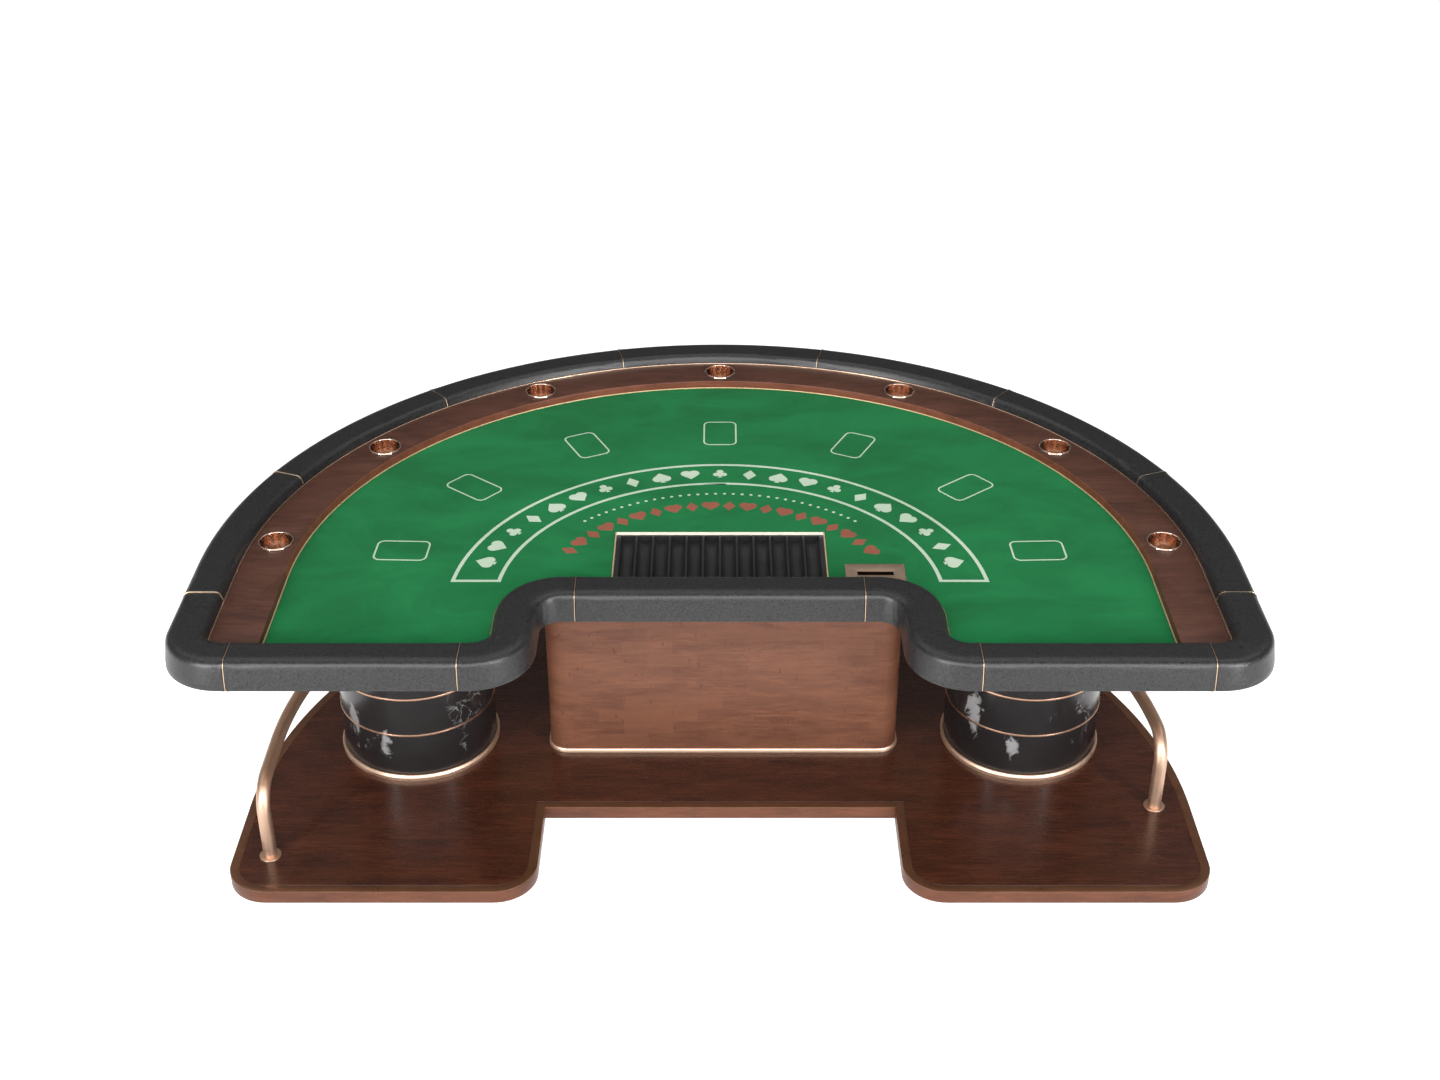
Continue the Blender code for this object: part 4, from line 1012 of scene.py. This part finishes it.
bm = board([platformMoves(platform["inlay"] + platform["gap"])], platform["deckBottom"], platform["top"],
           platform["deckEase"], 1)
newMesh("platform_deck", bm, "platform", "walnut_dark", "plinth_deck")
bm = board([platformMoves(0), platformMoves(platform["inlay"])], platform["inlayBottom"], platform["top"],
           platform["inlayEase"])
newMesh("platform_inlay", bm, "bronze", "bronze", "plinth_inlay")

rail = {"tube": 0.018, "arc": 1.1975, "bend": 0.070, "height": 0.2565, "foot": 0.0388, "leftEnd": -0.209,
        "rightEnd": 0.0, "sides": 36, "step": 0.013,
        "post": 0.014, "posts": (-60.0, 0.0, 60.0), "postSteps": 32,
        "flange": 0.029, "flangeBore": 0.0183, "flangeHeight": 0.0035, "flangeSteps": 48}


def buildRail(look):
    arcR, bend, z, low = look["arc"], look["bend"], look["height"], look["foot"]
    rightAngle = math.asin((look["rightEnd"] + bend) / arcR)
    rightTop = atPlace(arcR * math.cos(rightAngle), arcR * math.sin(rightAngle)) + up * z
    rightLeg = atPlace(arcR, look["rightEnd"])
    away = (rightLeg + up * z - rightTop).normalized()
    leftLeg = atPlace(-arcR, look["leftEnd"])
    bm = bmesh.new()
    along = bm.verts.layers.float.new("along")
    ring = bmesh.ops.create_circle(bm, segments=look["sides"], radius=look["tube"],
                                   matrix=Matrix.Translation(leftLeg + up * low))["verts"]
    begin = list({e for v in ring for e in v.link_edges})
    moves = [("line", up * (z - bend - low), 0),
             ("bend", leftLeg + Vector((0, bend, z - bend)), (-90, Vector((1, 0, 0)))),
             line(0, -look["leftEnd"] - bend),
             arc(centre + up * z, -180 + math.degrees(rightAngle)),
             ("bend", rightTop - up * bend, (90, away.cross(-up).normalized())),
             ("line", -up * (z - bend - low), 0)]
    _, end = grow(bm, ring, begin, moves, look["step"], along)
    for group in (begin, end):
        bmesh.ops.contextual_create(bm, geom=group)
    return bm


newMesh("foot_rail_tube", buildRail(rail), "railMetal", "rose_gold", "foot_rail")
low, thick = rail["foot"], rail["flangeHeight"]


def flangeSection(bore):
    out = rail["flange"]
    return roundedSection([(bore, 0, 0), (out, 0, 0), (out, thick, 0.0012), (bore, thick, 0)], 3, lift=low)


for name, x, y in (("l", -rail["arc"], rail["leftEnd"]), ("r", rail["arc"], rail["rightEnd"])):
    flange = turned(flangeSection(rail["flangeBore"]), rail["flangeSteps"], atPlace(x, y))
    newMesh("foot_rail_flange_" + name, flange, "railMetal", "rose_gold", "rail_flange_" + name)
posts, r, foot, high = [], rail["post"], low + thick, rail["height"]
for angle in rail["posts"]:
    at = onArc(rail["arc"], angle)
    posts.append(turned([(0, foot), (r, foot), (r, high), (0, high)], rail["postSteps"], at))
    posts.append(turned([(0, low)] + flangeSection(0.0)[1:-1] + [(0, foot)], rail["flangeSteps"], at))
newMesh("foot_rail_posts", together(posts), "railMetal", "rose_gold", "foot_rail")

print("parts under the top")
kept = {"table_deck": "plywood", "armrest_core": "plywood", "plinth_base": "plywood",
        "cabinet_back": "cabinetBack", "underframe": "blackSteel", "column_post_l": "blackSteel",
        "column_post_r": "blackSteel", "drop_box": "blackSteel", "drop_box_hanger": "zinc"}
for name, finish in kept.items():
    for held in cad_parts[name].material_slots:
        held.material = finishes[finish]


print("floor, lights and camera")
studio = {
    "floor": colour(188, 188, 188), "floorFleck": colour(240, 240, 240), "glow": 0.90, "floorHalf": 300,
    "wallRadius": 120, "wallHeight": 160, "world": (1.0, 0.99, 0.98, 1.0), "worldStrength": 0.155,
    "lens": 47.5, "sensor": 36.0, "sight": 200.0, "eye": (0.0, -4.580, 3.3425), "tilt": 59.36,
}
softBoxes = {  # power, size, place and turn
    "front_softbox": (850, (12.0, 4.5), (0, -6.5, 4.25), (65, 0, 0)),
    "top_softbox": (112, (9.0, 4.0), (0, 0.6, 4.5), (0, 0, 0)),
    "left_strip_light": (250, (0.8, 3.0), (-4.2, -5.0, 1.8), (90, 0, -40)),
    "right_strip_light": (250, (0.8, 3.0), (4.2, -5.0, 1.8), (90, 0, 40)),
}
made, tree, shader = startFinish("studio_floor", Roughness=0.9, Specular_IOR_Level=0.2,
                                 Emission_Strength=studio["glow"], Emission_Color=(1.0, 1.0, 1.0, 1.0))
faint = spread(tree, grain(tree, surface(tree), 3, 3), 0.0, 0.02)
join(tree, mixed(tree, faint, studio["floor"], studio["floorFleck"]), shader, "Base Color")
bm = bmesh.new()
bmesh.ops.create_grid(bm, x_segments=8, y_segments=8, size=studio["floorHalf"])
linked("studio_floor", bm, made)
bm = bmesh.new()
bmesh.ops.create_cone(bm, segments=64, cap_ends=False, radius1=studio["wallRadius"],
                      radius2=studio["wallRadius"], depth=studio["wallHeight"])
backdrop = linked("studio_backdrop", bm, made)
# only the camera sees it
backdrop.visible_diffuse = backdrop.visible_glossy = backdrop.visible_shadow = False

world = bpy.data.worlds.new("studio")
bpy.context.scene.world = world
world.use_nodes = True
world.node_tree.nodes["Background"].inputs["Color"].default_value = studio["world"]
world.node_tree.nodes["Background"].inputs["Strength"].default_value = studio["worldStrength"]

for name, (power, size, place, turns) in softBoxes.items():
    lamp = bpy.data.lights.new(name, "AREA")
    lamp.shape, lamp.size, lamp.size_y, lamp.energy = "RECTANGLE", *size, power
    light = bpy.data.objects.new(name, lamp)
    light.location, light.rotation_euler = place, [math.radians(a) for a in turns]
    light.visible_camera = False
    bpy.context.scene.collection.objects.link(light)

lens = bpy.data.cameras.new("camera")
lens.lens, lens.sensor_width, lens.clip_end = studio["lens"], studio["sensor"], studio["sight"]
view = bpy.data.objects.new("camera", lens)
view.location, view.rotation_euler = studio["eye"], (math.radians(studio["tilt"]), 0, 0)
bpy.context.scene.collection.objects.link(view)
bpy.context.scene.camera = view
bpy.context.scene.view_settings.view_transform = "Standard"

bpy.context.view_layer.update()
